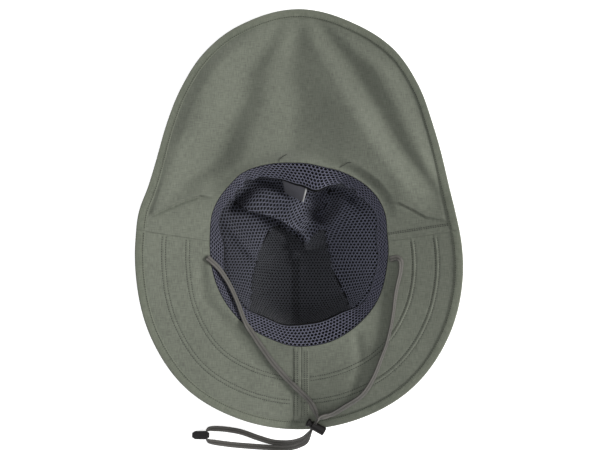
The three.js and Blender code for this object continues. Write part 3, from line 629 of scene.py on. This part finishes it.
def center_band():
    """The band over the front seam, with its own seam and two rows of stitches a side."""
    xs = np.linspace(BAND_LEFT, BAND_RIGHT, 40)[:, None]
    radii = np.linspace(float(around(0, "rim")) + 0.8, float(around(0, "edge")) - BINDING_WIDTH, 90)
    angles = np.degrees(np.arcsin(xs / radii))
    seam = -0.7 * bell(xs - 2.1, 0.7)
    edges = -0.5 * bell(np.minimum(xs - BAND_LEFT, BAND_RIGHT - xs), 1)
    top = underside(angles, radii, 0.25 + 0.6 * BAND_THICKNESS + seam + edges)
    bottom = underside(angles, radii, 0.1)
    piece = slab("brim_center_band", top, bottom, OLIVE, uv=top[..., :2] * MM)
    dress(piece, "olive_nylon", "brim_center_band")


center_band()


# Stitches

def stitch_shape(length, radius, sides=6):
    """The points and faces of one stitch along X: a thread that dives into the cloth at its ends."""
    stations = ((-0.5, 0.25, -0.6), (-0.36, 0.85, 0.1), (0, 1, 0.35), (0.36, 0.85, 0.1),
                (0.5, 0.25, -0.6))
    turns = full_turn(sides)
    points = [(s * length, r * radius * math.cos(t), r * radius * math.sin(t) + z * radius)
              for s, r, z in stations for t in turns]
    return np.array(points), tube_faces(len(stations), sides)


def stitches(name, rows, lift, slot="olive_nylon", radius=0.45):
    """Rows of stitches on the underside, each given as its angles and radii round the hat."""
    length, pitch, near = 1.35, 2.5, 0.5
    shape, shape_faces = stitch_shape(length, radius)
    points, faces = [], []
    for angles, radii in rows:
        line, up = underside(angles, radii, lift), up_of(angles, radii)
        run = run_along(line)
        places = np.arange(pitch / 2, run[-1] - pitch / 2, pitch)
        along = unit(spread_over(places + near, run, line) - spread_over(places - near, run, line))
        side = unit(np.cross(spread_over(places, run, up), along))
        above = np.cross(along, side)
        for m, a, s, u in zip(spread_over(places, run, line), along, side, above):
            first = len(points) * len(shape)
            points.append(m + shape[:, :1] * a + shape[:, 1:2] * s + shape[:, 2:] * u)
            faces += [[first + k for k in face] for face in shape_faces]
    cloud = np.concatenate(points)
    dress(mesh_object(name, cloud, faces, THREAD, cloud[:, :2] * MM), slot)


def up_of(angle, radius, reach=1.0):
    """The finished underside's upward direction."""
    turn = np.degrees(reach / radius)
    round_it = underside(angle + turn, radius) - underside(angle - turn, radius)
    out = underside(angle, radius + reach) - underside(angle, radius - reach)
    up = np.cross(out, round_it)
    up *= np.sign(up[..., 2:])
    return unit(up)


def brim_stitches():
    rows = []
    for start, end in ((-SEAM_ANGLE + 1, -3), (5, SEAM_ANGLE - 1)):
        angles = np.linspace(start, end, 200)
        rows += [(angles, around(angles, "edge") - quilt_inset(angles, row)) for row in range(4)]
    stitches("quilting_stitches", rows, 0.05)


def edge_stitches():
    rows = []
    brim_end, cape_start = SEAM_ANGLE - 0.6, SEAM_ANGLE + 0.6
    for start, end in ((-brim_end, brim_end), (cape_start, 360 - cape_start)):
        angles = np.linspace(start, end, 400)
        rows.append((angles, around(angles, "edge") - BINDING_WIDTH + 1.3))
    stitches("binding_stitches", rows, 1.1, "olive_binding", radius=0.4)


def band_stitches():
    radii = np.linspace(float(around(0, "rim")) + 5, float(around(0, "edge")) - 13, 100)
    places = (BAND_LEFT + 1.4, BAND_LEFT + 4.2, BAND_RIGHT - 4.2, BAND_RIGHT - 1.4)
    rows = [(np.degrees(np.arcsin(x / radii)), radii) for x in places]
    stitches("center_band_stitches", rows, 0.9)


def seam_stitches():
    """The two close rows behind the seam between the brim and the cape, on the right."""
    radii = np.linspace(94, 158, 80)
    rows = [(SEAM_ANGLE + np.degrees(np.arcsin(behind / radii)), radii) for behind in (6.4, 8)]
    stitches("seam_stitches", rows, 0.1)


# Stray ends of thread that lie on the cape behind its seam: places seen from above.
LOOSE_THREADS = (
    ((-20.6, 95.8), (-20.4, 98.4), (-17.4, 101.2), (-12.4, 104)),
    ((42, 90.4), (46.5, 92.6), (50, 95), (54, 95.4)),
)


def loose_threads():
    thickness, lift, steps, parts = 0.3, 0.6, 14, []
    for line in LOOSE_THREADS:
        line = np.array(line)
        run = np.linspace(0, len(line) - 1, steps)
        x, y = (np.interp(run, np.arange(len(line)), line[:, k]) for k in (0, 1))
        middle = underside(np.degrees(np.arctan2(x, -y)), np.hypot(x, y), lift)
        side = np.stack((-np.gradient(y), np.gradient(x), 0 * x), 1)
        side = unit(side)
        loops = np.stack([middle + thickness * (math.cos(t) * side + (0, 0, math.sin(t)))
                          for t in full_turn(6)], 1)
        parts.append(swept("loose_thread", loops, THREAD))
    dress(joined("loose_threads", parts), "olive_nylon")


brim_stitches()
edge_stitches()
band_stitches()
seam_stitches()
loose_threads()


# Crown, outside

CROWN_PROFILE = np.array((
    (0, 0), (0.62, 0), (0.74, 2.6), (0.84, 9.5), (0.91, 22), (0.96, 40), (0.99, 60), (1, 75.4),
))
CROWN_SEAM_ROW = 3
# The dent at the crown's back: its angle, spread, depth, height and reach up and down.
CROWN_DENT = (168, 34, 10, 34, 14)


def crown_dent(angle, height):
    centre, spread, depth, level, reach = CROWN_DENT
    return depth * bell(wrapped(angle - centre), spread) * bell(height - level, reach)


def crown_place(angle, row, inset):
    """A place on the crown's outer face, at a row of its profile that may be a fraction."""
    table = np.column_stack((np.arange(len(CROWN_PROFILE)), CROWN_PROFILE))
    share, height = smooth_at(table, row, 1), smooth_at(table, row, 2)
    step = 0.05
    run = (smooth_at(table, row + step, 1) - smooth_at(table, row - step, 1)) * around(angle, "rim")
    rise = smooth_at(table, row + step, 2) - smooth_at(table, row - step, 2)
    length = np.maximum(np.hypot(run, rise), 1e-6)
    radius = share * (around(angle, "rim") - crown_dent(angle, height)) - inset * rise / length
    return polar(angle, np.maximum(radius, 0.5), np.maximum(height, 0) + inset * run / length)


def crown_panel(name, first, last):
    angles = np.arange(0, 360, 2.0)[:, None]
    rows = np.linspace(first, last, 40)
    ease = 0.5 * bell(rows - (last if first == 0 else first), 0.12)
    outside = crown_place(angles, rows, ease)
    inside = crown_place(angles, rows, 1.2)
    around_it = np.radians(angles) * 80 + 0 * rows
    uv = np.stack((around_it, outside[..., 2] + rows * 12), -1) * MM
    dress(slab(name, inside, outside, OLIVE, ring=True, uv=uv), "olive_nylon", name)


crown_panel("crown_top", 0, CROWN_SEAM_ROW - 0.02)
crown_panel("crown_side", CROWN_SEAM_ROW + 0.05, len(CROWN_PROFILE) - 1)


# Mesh cloth with real holes

def perforated(name, place, centres, pitch, rings, material, sides, sizes=1.0):
    """Cloth with a hole in each six-sided cell. place maps flat (u, v) to a point, centres are the
    cells' middles in that flat pattern, rings are the hole's radii and depths, and sizes scale each
    cell's hole. The wall between the last two rings is near-black: painted shade, for the shadow down
    in each hole."""
    turns = full_turn(sides) + np.pi / 6
    outer = pitch / 2 / np.cos(turns % (np.pi / 3) - np.pi / 6)
    ring = np.stack((np.cos(turns), np.sin(turns)), -1)
    flats = [centres[:, None] + ring * outer[:, None]]
    sizes = np.broadcast_to(sizes, len(centres))[:, None, None]
    flats += [centres[:, None] + ring * radius * sizes for radius, _ in rings]
    depths = [0.0] + [depth for _, depth in rings]
    body = np.stack([place(flat, -depth) for flat, depth in zip(flats, depths)], 1)
    quads = ring_faces(len(flats), sides, False, True)
    first = np.arange(len(centres)) * len(flats) * sides
    faces = (quads[None] + first[:, None, None]).reshape(-1, 4)
    uv = np.stack(flats, 1).reshape(-1, 2) * MM
    cloth = mesh_object(name, body.reshape(-1, 3), faces.tolist(), material, uv)
    # The hole walls get the near-black backing: painted shade.
    cloth.data.materials.append(PAINTED_SHADE_BACKING)
    wall = np.arange(len(quads)) >= len(quads) - sides
    cloth.data.polygons.foreach_set("material_index", np.tile(wall.astype(int), len(centres)))
    return cloth


def lattice(width, height, pitch):
    """The middles of six-sided cells over a rectangle with a corner at (0, 0)."""
    row_step = pitch * math.sqrt(3) / 2
    rows = int(height / row_step)
    columns = int(round(width / pitch))
    u = np.arange(columns) * pitch
    grid = [np.stack((u + (row % 2) * pitch / 2, np.full(columns, (row + 0.5) * row_step)), 1)
            for row in range(rows)]
    return np.concatenate(grid)


def band_place(angle, share, lift):
    """A place on the sweatband, from the rim, 0, to its free edge, 1."""
    rim = around(angle, "rim") - GAP
    turn = np.abs(wrapped(angle))
    slimmer = 4 * smoothstep(turn, 35, 60) * (1 - smoothstep(turn, 112, 135))
    corner = bell(turn - 141, 11)
    creased = 2.2 * corner * np.sin(np.radians(angle) * 38) + 0.9 * np.sin(np.radians(angle) * 11 + 1)
    lean = around(angle, "band") - slimmer + creased * np.clip(share, 0.2, 1)
    length = np.hypot(lean, SWEATBAND_DROP)
    sag = 1.2 * np.sin(np.pi * share)
    out, up = SWEATBAND_DROP / length, lean / length
    radius = rim - lean * share - lift * out + sag * out * 0.4
    return polar(angle, radius, RIM_HEIGHT - SWEATBAND_DROP * share + lift * up - sag * up * 0.4)


SWEATBAND_PITCH, SWEATBAND_HOLE = 4.3, ((1.8, -0.12), (1.7, 0.18), (1.68, 1.0))


def sweatband():
    girth, depth = 137 * SWEATBAND_PITCH, 7 * SWEATBAND_PITCH * math.sqrt(3) / 2
    centres = lattice(girth, depth + 0.1, SWEATBAND_PITCH)

    def place(flat, lift):
        return band_place(flat[..., 0] / girth * 360, np.clip(flat[..., 1] / depth, 0, 1), lift)

    mesh = perforated("sweatband", place, centres, SWEATBAND_PITCH, SWEATBAND_HOLE, BAND, 12)
    angles = np.arange(0, 360, 2.0)[:, None]
    # A near-black sheet behind the sweatband, reaching past its free edge as a dark line: painted
    # shade, and a painted shadow along that edge.
    shares = np.linspace(0, 1.12, 12)
    back = slab("sweatband_painted_shade", band_place(angles, shares, -1.1), band_place(angles, shares, -1.9),
                PAINTED_SHADE_BACKING, ring=True)
    rolled = np.stack([band_place(angles[:, 0], 1 + 0.02 * math.cos(t), -0.9 + 0.7 * math.sin(t))
                       for t in full_turn(8)], 1)
    edge = swept("sweatband_edge", rolled, PANEL, ring=True)
    dress(joined("sweatband", [mesh, back, edge]), "sweatband_mesh", "sweatband")


sweatband()


def crown_floor(angle, radius):
    """The least height at which a place of the lining is still inside the crown."""
    clearance, blend, least = 3, 1.5, 0
    for height in np.arange(2, 76, 2.0):
        share = np.interp(height, CROWN_PROFILE[1:, 1], CROWN_PROFILE[1:, 0])
        wall = share * (around(angle, "rim") - crown_dent(angle, height)) - clearance
        least = np.maximum(least, height * smoothstep(radius - wall, 0, blend))
    return least


def lining_height(angle, share, radius):
    lowest, floor, under_band, top = 2.6, 9, 54, 70.1
    rim = around(angle, "rim")
    knee = (rim - around(angle, "band")) / (rim - LINING_INSET)
    wall = under_band + (top - under_band) * ((share - knee) / (1 - knee)) ** 2
    turn = wrapped(angle)
    spread = np.where(turn > 0, 0.9, 1.1) * smoothstep(np.abs(turn), 35, 75) * (
        1 - smoothstep(np.abs(turn), 130, 160))
    bluntness = around(angle, "hollow") - spread
    bowl = floor + (under_band - floor) * np.maximum(share / knee, 0) ** bluntness
    x, y, _ = np.moveaxis(polar(angle, radius, 0), -1, 0)
    folds = (fold_rise(LINING_FOLDS, x, y) + tongue_rise(x, y)) * (1 - share ** 5)
    depth, inside, width = BACK_HOLLOW
    behind = rim - around(angle, "band") - inside - radius
    hollow = depth * smoothstep(np.abs(turn), 116, 138) * bell(behind, width)
    lowest = np.maximum(lowest, crown_floor(angle, radius))
    return np.maximum(lowest, np.where(share > knee, wall, bowl) + folds - hollow - seam_groove(x, y))


def tongue_part(x, y):
    """How far a place lies behind the tongue's edge, and how much of the tongue there is."""
    nearest = np.full(np.shape(x), np.inf)
    signed, along = np.zeros(np.shape(x)), np.zeros(np.shape(x))
    steps = len(TONGUE) - 1
    for k, (start, end) in enumerate(zip(TONGUE, TONGUE[1:])):
        t, away_x, away_y = off_segment(x, y, start, end)
        distance = np.hypot(away_x, away_y)
        side = np.where((end[0] - start[0]) * away_y > (end[1] - start[1]) * away_x, 1, -1)
        closer = distance < nearest
        nearest = np.where(closer, distance, nearest)
        signed = np.where(closer, distance * side, signed)
        along = np.where(closer, (k + t) / steps, along)
    ends = smoothstep(along, 0, 0.3) * (1 - 0.45 * smoothstep(along, 0.6, 1))
    past_tip = bell(np.clip(12 - y, 0, None), 5)
    return signed, ends * past_tip


def tongue_rise(x, y):
    """The slumped tongue: steep in front of its edge, and sinking slowly behind it."""
    signed, amount = tongue_part(x, y)
    return TONGUE_HEIGHT * amount * smoothstep(signed, -4.5, 2.5) * np.exp(
        -np.clip(signed, 0, None) / TONGUE_REACH)


def tongue_shift(x, y):
    """How far the tongue's edge hangs forward over the cloth in front of it."""
    signed, amount = tongue_part(x, y)
    push = amount * smoothstep(signed, -4, 3) * bell(np.clip(signed - 3, 0, None), 12)
    return push[..., None] * TONGUE_OVERHANG


LEFT_SEAM = ((-60, -52), (-24, -49), (0, -43), (16, -36), (32, -28))
RIGHT_SEAM = ((-60, 54), (-46, 50), (-22, 38), (4, 31), (26, 27))
PANEL_END = ((-60, 44), (-40, 37), (-20, 29), (-5, 22), (4, 13), (9, 14), (16, 22), (27, 28))


def panel_sides(y):
    """Where the lining's side seams run: x on the left and on the right."""
    return [np.interp(y, *np.transpose(seam)) for seam in (LEFT_SEAM, RIGHT_SEAM)]


def seam_groove(x, y):
    left, right = panel_sides(y)
    nearest = np.minimum(np.abs(x - left), np.abs(x - right))
    reach = 1 - smoothstep(y, 24, 34)
    return 1.4 * reach * bell(nearest, 1.2)


def lining_place(angle, share, lift=0.0):
    radius = share * (around(angle, "rim") - LINING_INSET)
    here = polar(angle, radius, lining_height(angle, share, radius))
    here = here + tongue_shift(here[..., 0], here[..., 1])
    if np.all(lift == 0):
        return here
    step = 0.01
    near = np.maximum(share, 0.02)
    spot = [lining_place(angle + a, near + s) for a, s in ((1, 0), (-1, 0), (0, step), (0, -step))]
    up = np.cross(spot[2] - spot[3], spot[0] - spot[1])
    up /= np.maximum(np.linalg.norm(up, axis=-1), 1e-9)[..., None]
    return here + up * lift


# Each hole's rings: radius and depth.
WALL_PITCH, WALL_HOLE = 4.2, ((1.72, -0.06), (1.64, 0.12), (1.62, 0.7))
PANEL_PITCH, PANEL_HOLE = 3.3, ((1.3, -0.04), (1.22, 0.1), (1.2, 0.5))


def lining():
    """Knitted mesh laid over the slack bowl: the flat pattern's radius is the way along it."""
    shares = np.linspace(0, 1, 160)
    angle_step = 3.0
    grid_angles = np.arange(0, 361, angle_step)
    spots = lining_place(grid_angles[:, None], shares)
    runs = np.array([run_along(line) for line in spots])

    def share_at(angle, length):
        """How far out a place of the flat pattern lies, between the two nearest grid angles."""
        at = (angle % 360) / angle_step
        low = np.floor(at).astype(int)
        result = np.empty(length.shape)
        for k in range(len(grid_angles) - 1):
            mine = low == k
            near, far = (np.interp(length[mine], run, shares) for run in runs[k:k + 2])
            result[mine] = near + (far - near) * (at - low)[mine]
        return result

    def place(flat, lift):
        angle = np.degrees(np.arctan2(flat[..., 0], -flat[..., 1]))
        return lining_place(angle, share_at(angle, np.hypot(flat[..., 0], flat[..., 1])), lift)

    def cells(pitch, on_panel):
        """The middles of the cells of the finer top and front panel, or of the walls round it."""
        reach = runs[:, -1].max() + pitch
        centres = lattice(2 * reach, 2 * reach, pitch) - reach
        turns = np.degrees(np.arctan2(centres[:, 0], -centres[:, 1])) % 360
        ends = np.interp(turns, grid_angles, runs[:, -1])
        centres = centres[np.hypot(centres[:, 0], centres[:, 1]) < ends - 1.5]
        middles = place(centres, 0)
        left, right = panel_sides(middles[:, 1])
        end = np.interp(middles[:, 0], *np.transpose(PANEL_END))
        panel = (middles[:, 0] > left) & (middles[:, 0] < right) & (middles[:, 1] < end)
        return centres[panel == on_panel], middles[panel == on_panel]

    centres, _ = cells(WALL_PITCH, False)
    walls = perforated("crown_lining", place, centres, WALL_PITCH, WALL_HOLE, LINING, 8)
    centres, middles = cells(PANEL_PITCH, True)
    seam = (np.abs(middles[:, 0] + 3.6) < 4) & (middles[:, 1] < -4)
    sizes = np.where(seam, 1.15, 1)
    panel = perforated("lining_panel", place, centres, PANEL_PITCH, PANEL_HOLE, PANEL, 6, sizes)
    angles = grid_angles[:-1, None]
    rows = np.linspace(0.001, 1, 70)
    # A near-black sheet under the lining, seen through its holes: painted shade.
    back = slab("lining_painted_shade", lining_place(angles, rows, -0.5), lining_place(angles, rows, -0.9),
                PAINTED_SHADE_BACKING, ring=True)
    dress(joined("crown_lining", [walls, panel, back]), "lining_mesh", "crown_lining")


lining()


# Label

def label():
    corners = np.array(((-18.6, 82.5, 63.8), (9.4, 73.2, 62.2), (4.1, 54.6, 50.5),
                        (-14.4, 63.9, 50.5)))
    rows, columns = 24, 30
    s, t = np.meshgrid(np.linspace(0, 1, rows), np.linspace(0, 1, columns), indexing="ij")
    s, t = s[..., None], t[..., None]
    top_edge = (1 - t) * corners[0] + t * corners[1]
    low_edge = (1 - t) * corners[3] + t * corners[2]
    place = (1 - s) * top_edge + s * low_edge
    bow = 1.2 * np.sin(np.pi * s[..., 0]) + 0.5 * np.sin(np.pi * t[..., 0])
    top = place + np.stack((0 * bow, 0 * bow, bow), -1)
    bottom = top - (0, 0, 0.8)
    uv = np.stack((t[..., 0] * 22, s[..., 0] * 14), -1) * MM
    face = slab("label", top, bottom, LABEL, uv=uv)
    # A pale strip along the label's right edge only, the side towards the key light: painted
    # highlight.
    highlight_strip = top[:, -3:] + (0.4, 0, 0.15)
    edge = slab("label_highlight_strip", highlight_strip, highlight_strip - (0, 0, 0.7), LABEL_HIGHLIGHT, uv=uv[:, -3:])
    dress(joined("label", [face, edge]), "label_tape", "label")


label()


# Cord lock

LOCK_FACE = np.array((8.2, -173.6, 48.9))
LOCK_HEADING, LOCK_DIP, LOCK_CORD_DIP = -29.4, 3, 30
SLOT_START, SLOT_END = 6.4, 10


def lock_axes():
    heading, dip, cord_dip = np.radians((LOCK_HEADING, LOCK_DIP, LOCK_CORD_DIP))
    east, north = math.cos(heading), math.sin(heading)
    axis = np.array((east * math.cos(dip), north * math.cos(dip), -math.sin(dip)))
    through = np.array((north * math.cos(cord_dip), -east * math.cos(cord_dip), -math.sin(cord_dip)))
    through = unit(through - axis * through.dot(axis))
    up = unit(np.cross(through, axis))
    return axis, through, up if up[2] > 0 else -up


AXIS, THROUGH, LOCK_UP = lock_axes()


# Chin cord

CORD_WIDTH, CORD_THICKNESS = 6, 1.8
SQUEEZED_WIDTH, SQUEEZED_THICKNESS, CORD_CLEARANCE = 4.2, 1.3, 0.8


def strand(side, through, squeeze, turned=90):
    """A place of one of the cord's two strands inside the lock."""
    along = (SLOT_START + SLOT_END) / 2 + side * (SQUEEZED_THICKNESS + GAP) / 2
    x, y, z = LOCK_FACE + AXIS * along + THROUGH * through
    return dict(x=x, y=y, z=z, roll=-turned * side, squeeze=squeeze, in_lock=1)


def lay(x, y, roll, **more):
    return dict(x=x, y=y, roll=roll, **more)


CORD_ROUTE = (
    lay(-94.6, -2.4, 0, above=0.4), lay(-90, -6.6, 0, above=0.5), lay(-82.4, -14.4, 0, above=0.5),
    lay(-71.8, -30.9, 0, above=0.5), lay(-64.4, -47, 0, above=0.5), lay(-54.6, -71.1, 0, above=0.7),
    lay(-50.2, -77.4, 0, above=0.9), lay(-42.2, -89.6, 0), lay(-28.4, -109.4, 0),
    lay(-14.5, -126, 0), lay(-1, -139.6, 5), lay(9.2, -149.4, 15),
    lay(15.6, -159.6, 20, z=56),
    strand(-1, -9.5, 0.5, 62), strand(-1, -5, 1), strand(-1, 0, 1), strand(-1, 5, 1),
    strand(-1, 9, 0.5, 118),
    lay(4.2, -191.6, 155, z=33.5), lay(-3, -195.2, 168, z=23.5),
    lay(-10.4, -197, 174, z=13.6), lay(-18.4, -197.6, 177, z=5.8), lay(-28.4, -196.8, 178, z=2),
    lay(-43.5, -192.4, 178, z=1.5), lay(-60.9, -186.4, 176, z=1.6),
    lay(-76.7, -183.6, 174, z=1.8), lay(-88.3, -182.8, 165, z=3),
    lay(-94.8, -183.4, 145, z=3.2, squeeze=0.3), lay(-97.7, -186.4, 90, z=3.2, squeeze=1),
    lay(-97.8, -189.6, 90, z=3.2, squeeze=1), lay(-97.7, -192.8, 90, z=3.2, squeeze=1),
    lay(-94.8, -195.8, 35, z=3.2, squeeze=0.3), lay(-88.3, -197.2, 15, z=3),
    lay(-71.4, -199.6, 5, z=1.9), lay(-50.4, -201.4, 3, z=2), lay(-28.4, -202.8, 0, z=4.8),
    lay(-16.6, -203, -4, z=10.4), lay(-7.4, -201.6, -8, z=18.6), lay(-0.2, -199, -15, z=27),
    lay(7.4, -194.2, -30, z=35.6),
    strand(1, 9, 0.5, 60), strand(1, 5, 1), strand(1, 0, 1), strand(1, -5, 1),
    strand(1, -9.5, 0.5, 118),
    lay(23, -168.8, -150, z=55), lay(33.6, -165.4, -155), lay(48.9, -156, -155),
    lay(65.4, -144.3, -145), lay(76.6, -126.6, -130), lay(84.8, -105.6, -120),
    lay(89.8, -92, -115), lay(95.9, -66, -114), lay(99.6, -38.2, -114),
    lay(104.6, -14.6, -120), lay(104.4, -6, -145), lay(100.6, -3, -170), lay(93.4, -4.6, -180),
)


def slope_up(x, y, reach=2):
    dx = (top_height(x + reach, y) - top_height(x - reach, y)) / (2 * reach)
    dy = (top_height(x, y + reach) - top_height(x, y - reach)) / (2 * reach)
    return unit(np.array((-dx, -dy, 1)))


def cord_point(row):
    if "z" in row:
        return np.array((row["x"], row["y"], row["z"]))
    roll = math.radians(row["roll"])
    half = abs(math.sin(roll)) * CORD_WIDTH / 2 + abs(math.cos(roll)) * CORD_THICKNESS / 2
    rise = (half + CORD_CLEARANCE + row.get("above", 0)) / slope_up(row["x"], row["y"])[2]
    return np.array((row["x"], row["y"], top_height(row["x"], row["y"]) + rise))


def along_curve(points, share):
    """The place and heading on the smooth curve through points."""
    last = len(points) - 1
    i = min(int(share * last), last - 1)
    t = share * last - i
    p1, p2 = points[i], points[i + 1]
    p0 = points[i - 1] if i > 0 else 2 * points[0] - points[1]
    p3 = points[i + 2] if i + 2 <= last else 2 * points[last] - points[last - 1]
    d0, d1, d2 = (np.linalg.norm(b - a) ** 0.5 for a, b in ((p0, p1), (p1, p2), (p2, p3)))
    m1 = ((p1 - p0) / d0 - (p2 - p0) / (d0 + d1) + (p2 - p1) / d1) * d1
    m2 = ((p2 - p1) / d1 - (p3 - p1) / (d1 + d2) + (p3 - p2) / d2) * d1
    a, b = 2 * p1 - 2 * p2 + m1 + m2, -3 * p1 + 3 * p2 - 2 * m1 - m2
    return ((a * t + b) * t + m1) * t + p1, (3 * a * t + 2 * b) * t + m1


def row_value(share, name):
    last = len(CORD_ROUTE) - 1
    i = min(int(share * last), last - 1)
    low, high = CORD_ROUTE[i].get(name, 0), CORD_ROUTE[i + 1].get(name, 0)
    return low + (high - low) * (share * last - i)


def cord_section():
    """A flat braid's outline: full rounded edges and a shallow groove along both faces."""
    half_width, half_depth, points = CORD_WIDTH / 2, CORD_THICKNESS / 2, []
    for turn in np.linspace(0, 360, 20, endpoint=False):
        c, s = math.cos(math.radians(turn)), math.sin(math.radians(turn))
        x = half_width * math.copysign(abs(c) ** 0.6, c)
        groove = 1 - 0.45 * bell(x, 0.45 * half_width)
        points.append((x, half_depth * math.copysign(abs(s) ** 0.7, s) * groove))
    return np.array(points)


def chin_cord():
    points = [cord_point(row) for row in CORD_ROUTE]
    section = cord_section()
    loops, path = [], []
    for share in np.linspace(0, 1, (len(points) - 1) * 7 + 1):
        place, heading = along_curve(points, share)
        heading = unit(heading)
        in_lock = row_value(share, "in_lock")
        free = place[2] > top_height(place[0], place[1]) + CORD_WIDTH or in_lock > 0
        ground = np.array((0, 0, 1.0)) if free else slope_up(place[0], place[1])
        face = unit(ground * (1 - in_lock) + LOCK_UP * in_lock)
        across = unit(np.cross(face, heading))
        over = unit(np.cross(heading, across))
        roll, squeeze = math.radians(row_value(share, "roll")), row_value(share, "squeeze")
        broad = across * math.cos(roll) + over * math.sin(roll)
        thin = np.cross(heading, broad)
        width = 1 + (SQUEEZED_WIDTH / CORD_WIDTH - 1) * squeeze
        depth = 1 + (SQUEEZED_THICKNESS / CORD_THICKNESS - 1) * squeeze
        loops.append(place + section[:, :1] * broad * width + section[:, 1:] * thin * depth)
        path.append(place)
    path = np.array(path) * MM
    run = run_along(path)
    uv = np.stack(np.meshgrid(run, section[:, 0] * MM, indexing="ij"), -1).reshape(-1, 2)
    piece = swept("chin_cord", loops, WEBBING, uv=uv)
    dress(piece, "cord_webbing", "chin_cord")


chin_cord()

for node in ("cord_lock_barrel", "cord_lock_button", "cord_end_clip"):
    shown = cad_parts[node]
    shown.data.materials.clear()
    shown.data.materials.append(PLASTIC)


# Floor and light

WHITE = (1, 1, 1, 1)
FLOOR_SIZE, FLOOR_SINK = 6000, 0.05


def floor():
    signs = ((-1, -1), (1, -1), (1, 1), (-1, 1))
    corners = [(x * FLOOR_SIZE, y * FLOOR_SIZE, -FLOOR_SINK) for x, y in signs]
    piece = mesh_object("floor", corners, ((0, 1, 2, 3),), floor_material(), smooth=False)


def floor_material():
    n = Nodes("pale floor")
    place = n.add("TexCoord").outputs["Object"]
    n.link(n.mix(n.noise(place, 3.0), (0.9, 0.9, 0.9, 1), (0.92, 0.92, 0.92, 1)), "Base Color")
    n.settle(Roughness=0.9, Emission_Color=WHITE, Emission_Strength=0.6)
    return n.material


floor()


def area_light(name, place, size, power, color):
    data = bpy.data.lights.new(name, "AREA")
    data.shape = "DISK"
    data.size = size
    data.energy = power
    data.color = color
    lamp = bpy.data.objects.new(name, data)
    lamp.location = place
    lamp.rotation_euler = (-Vector(place)).to_track_quat("-Z", "Y").to_euler()
    bpy.context.scene.collection.objects.link(lamp)


area_light("key light", (2.28, 0.15, 1.5), 0.9, 100, (1, 0.99, 0.97))
area_light("fill light", (-0.4, -0.5, 3), 2.2, 28, (0.97, 0.98, 1))

world = bpy.data.worlds.new("studio")
world.use_nodes = True
surroundings = world.node_tree.nodes["Background"].inputs
surroundings["Color"].default_value = WHITE
surroundings["Strength"].default_value = 0.5
bpy.context.scene.world = world
bpy.context.scene.view_settings.view_transform = "Standard"
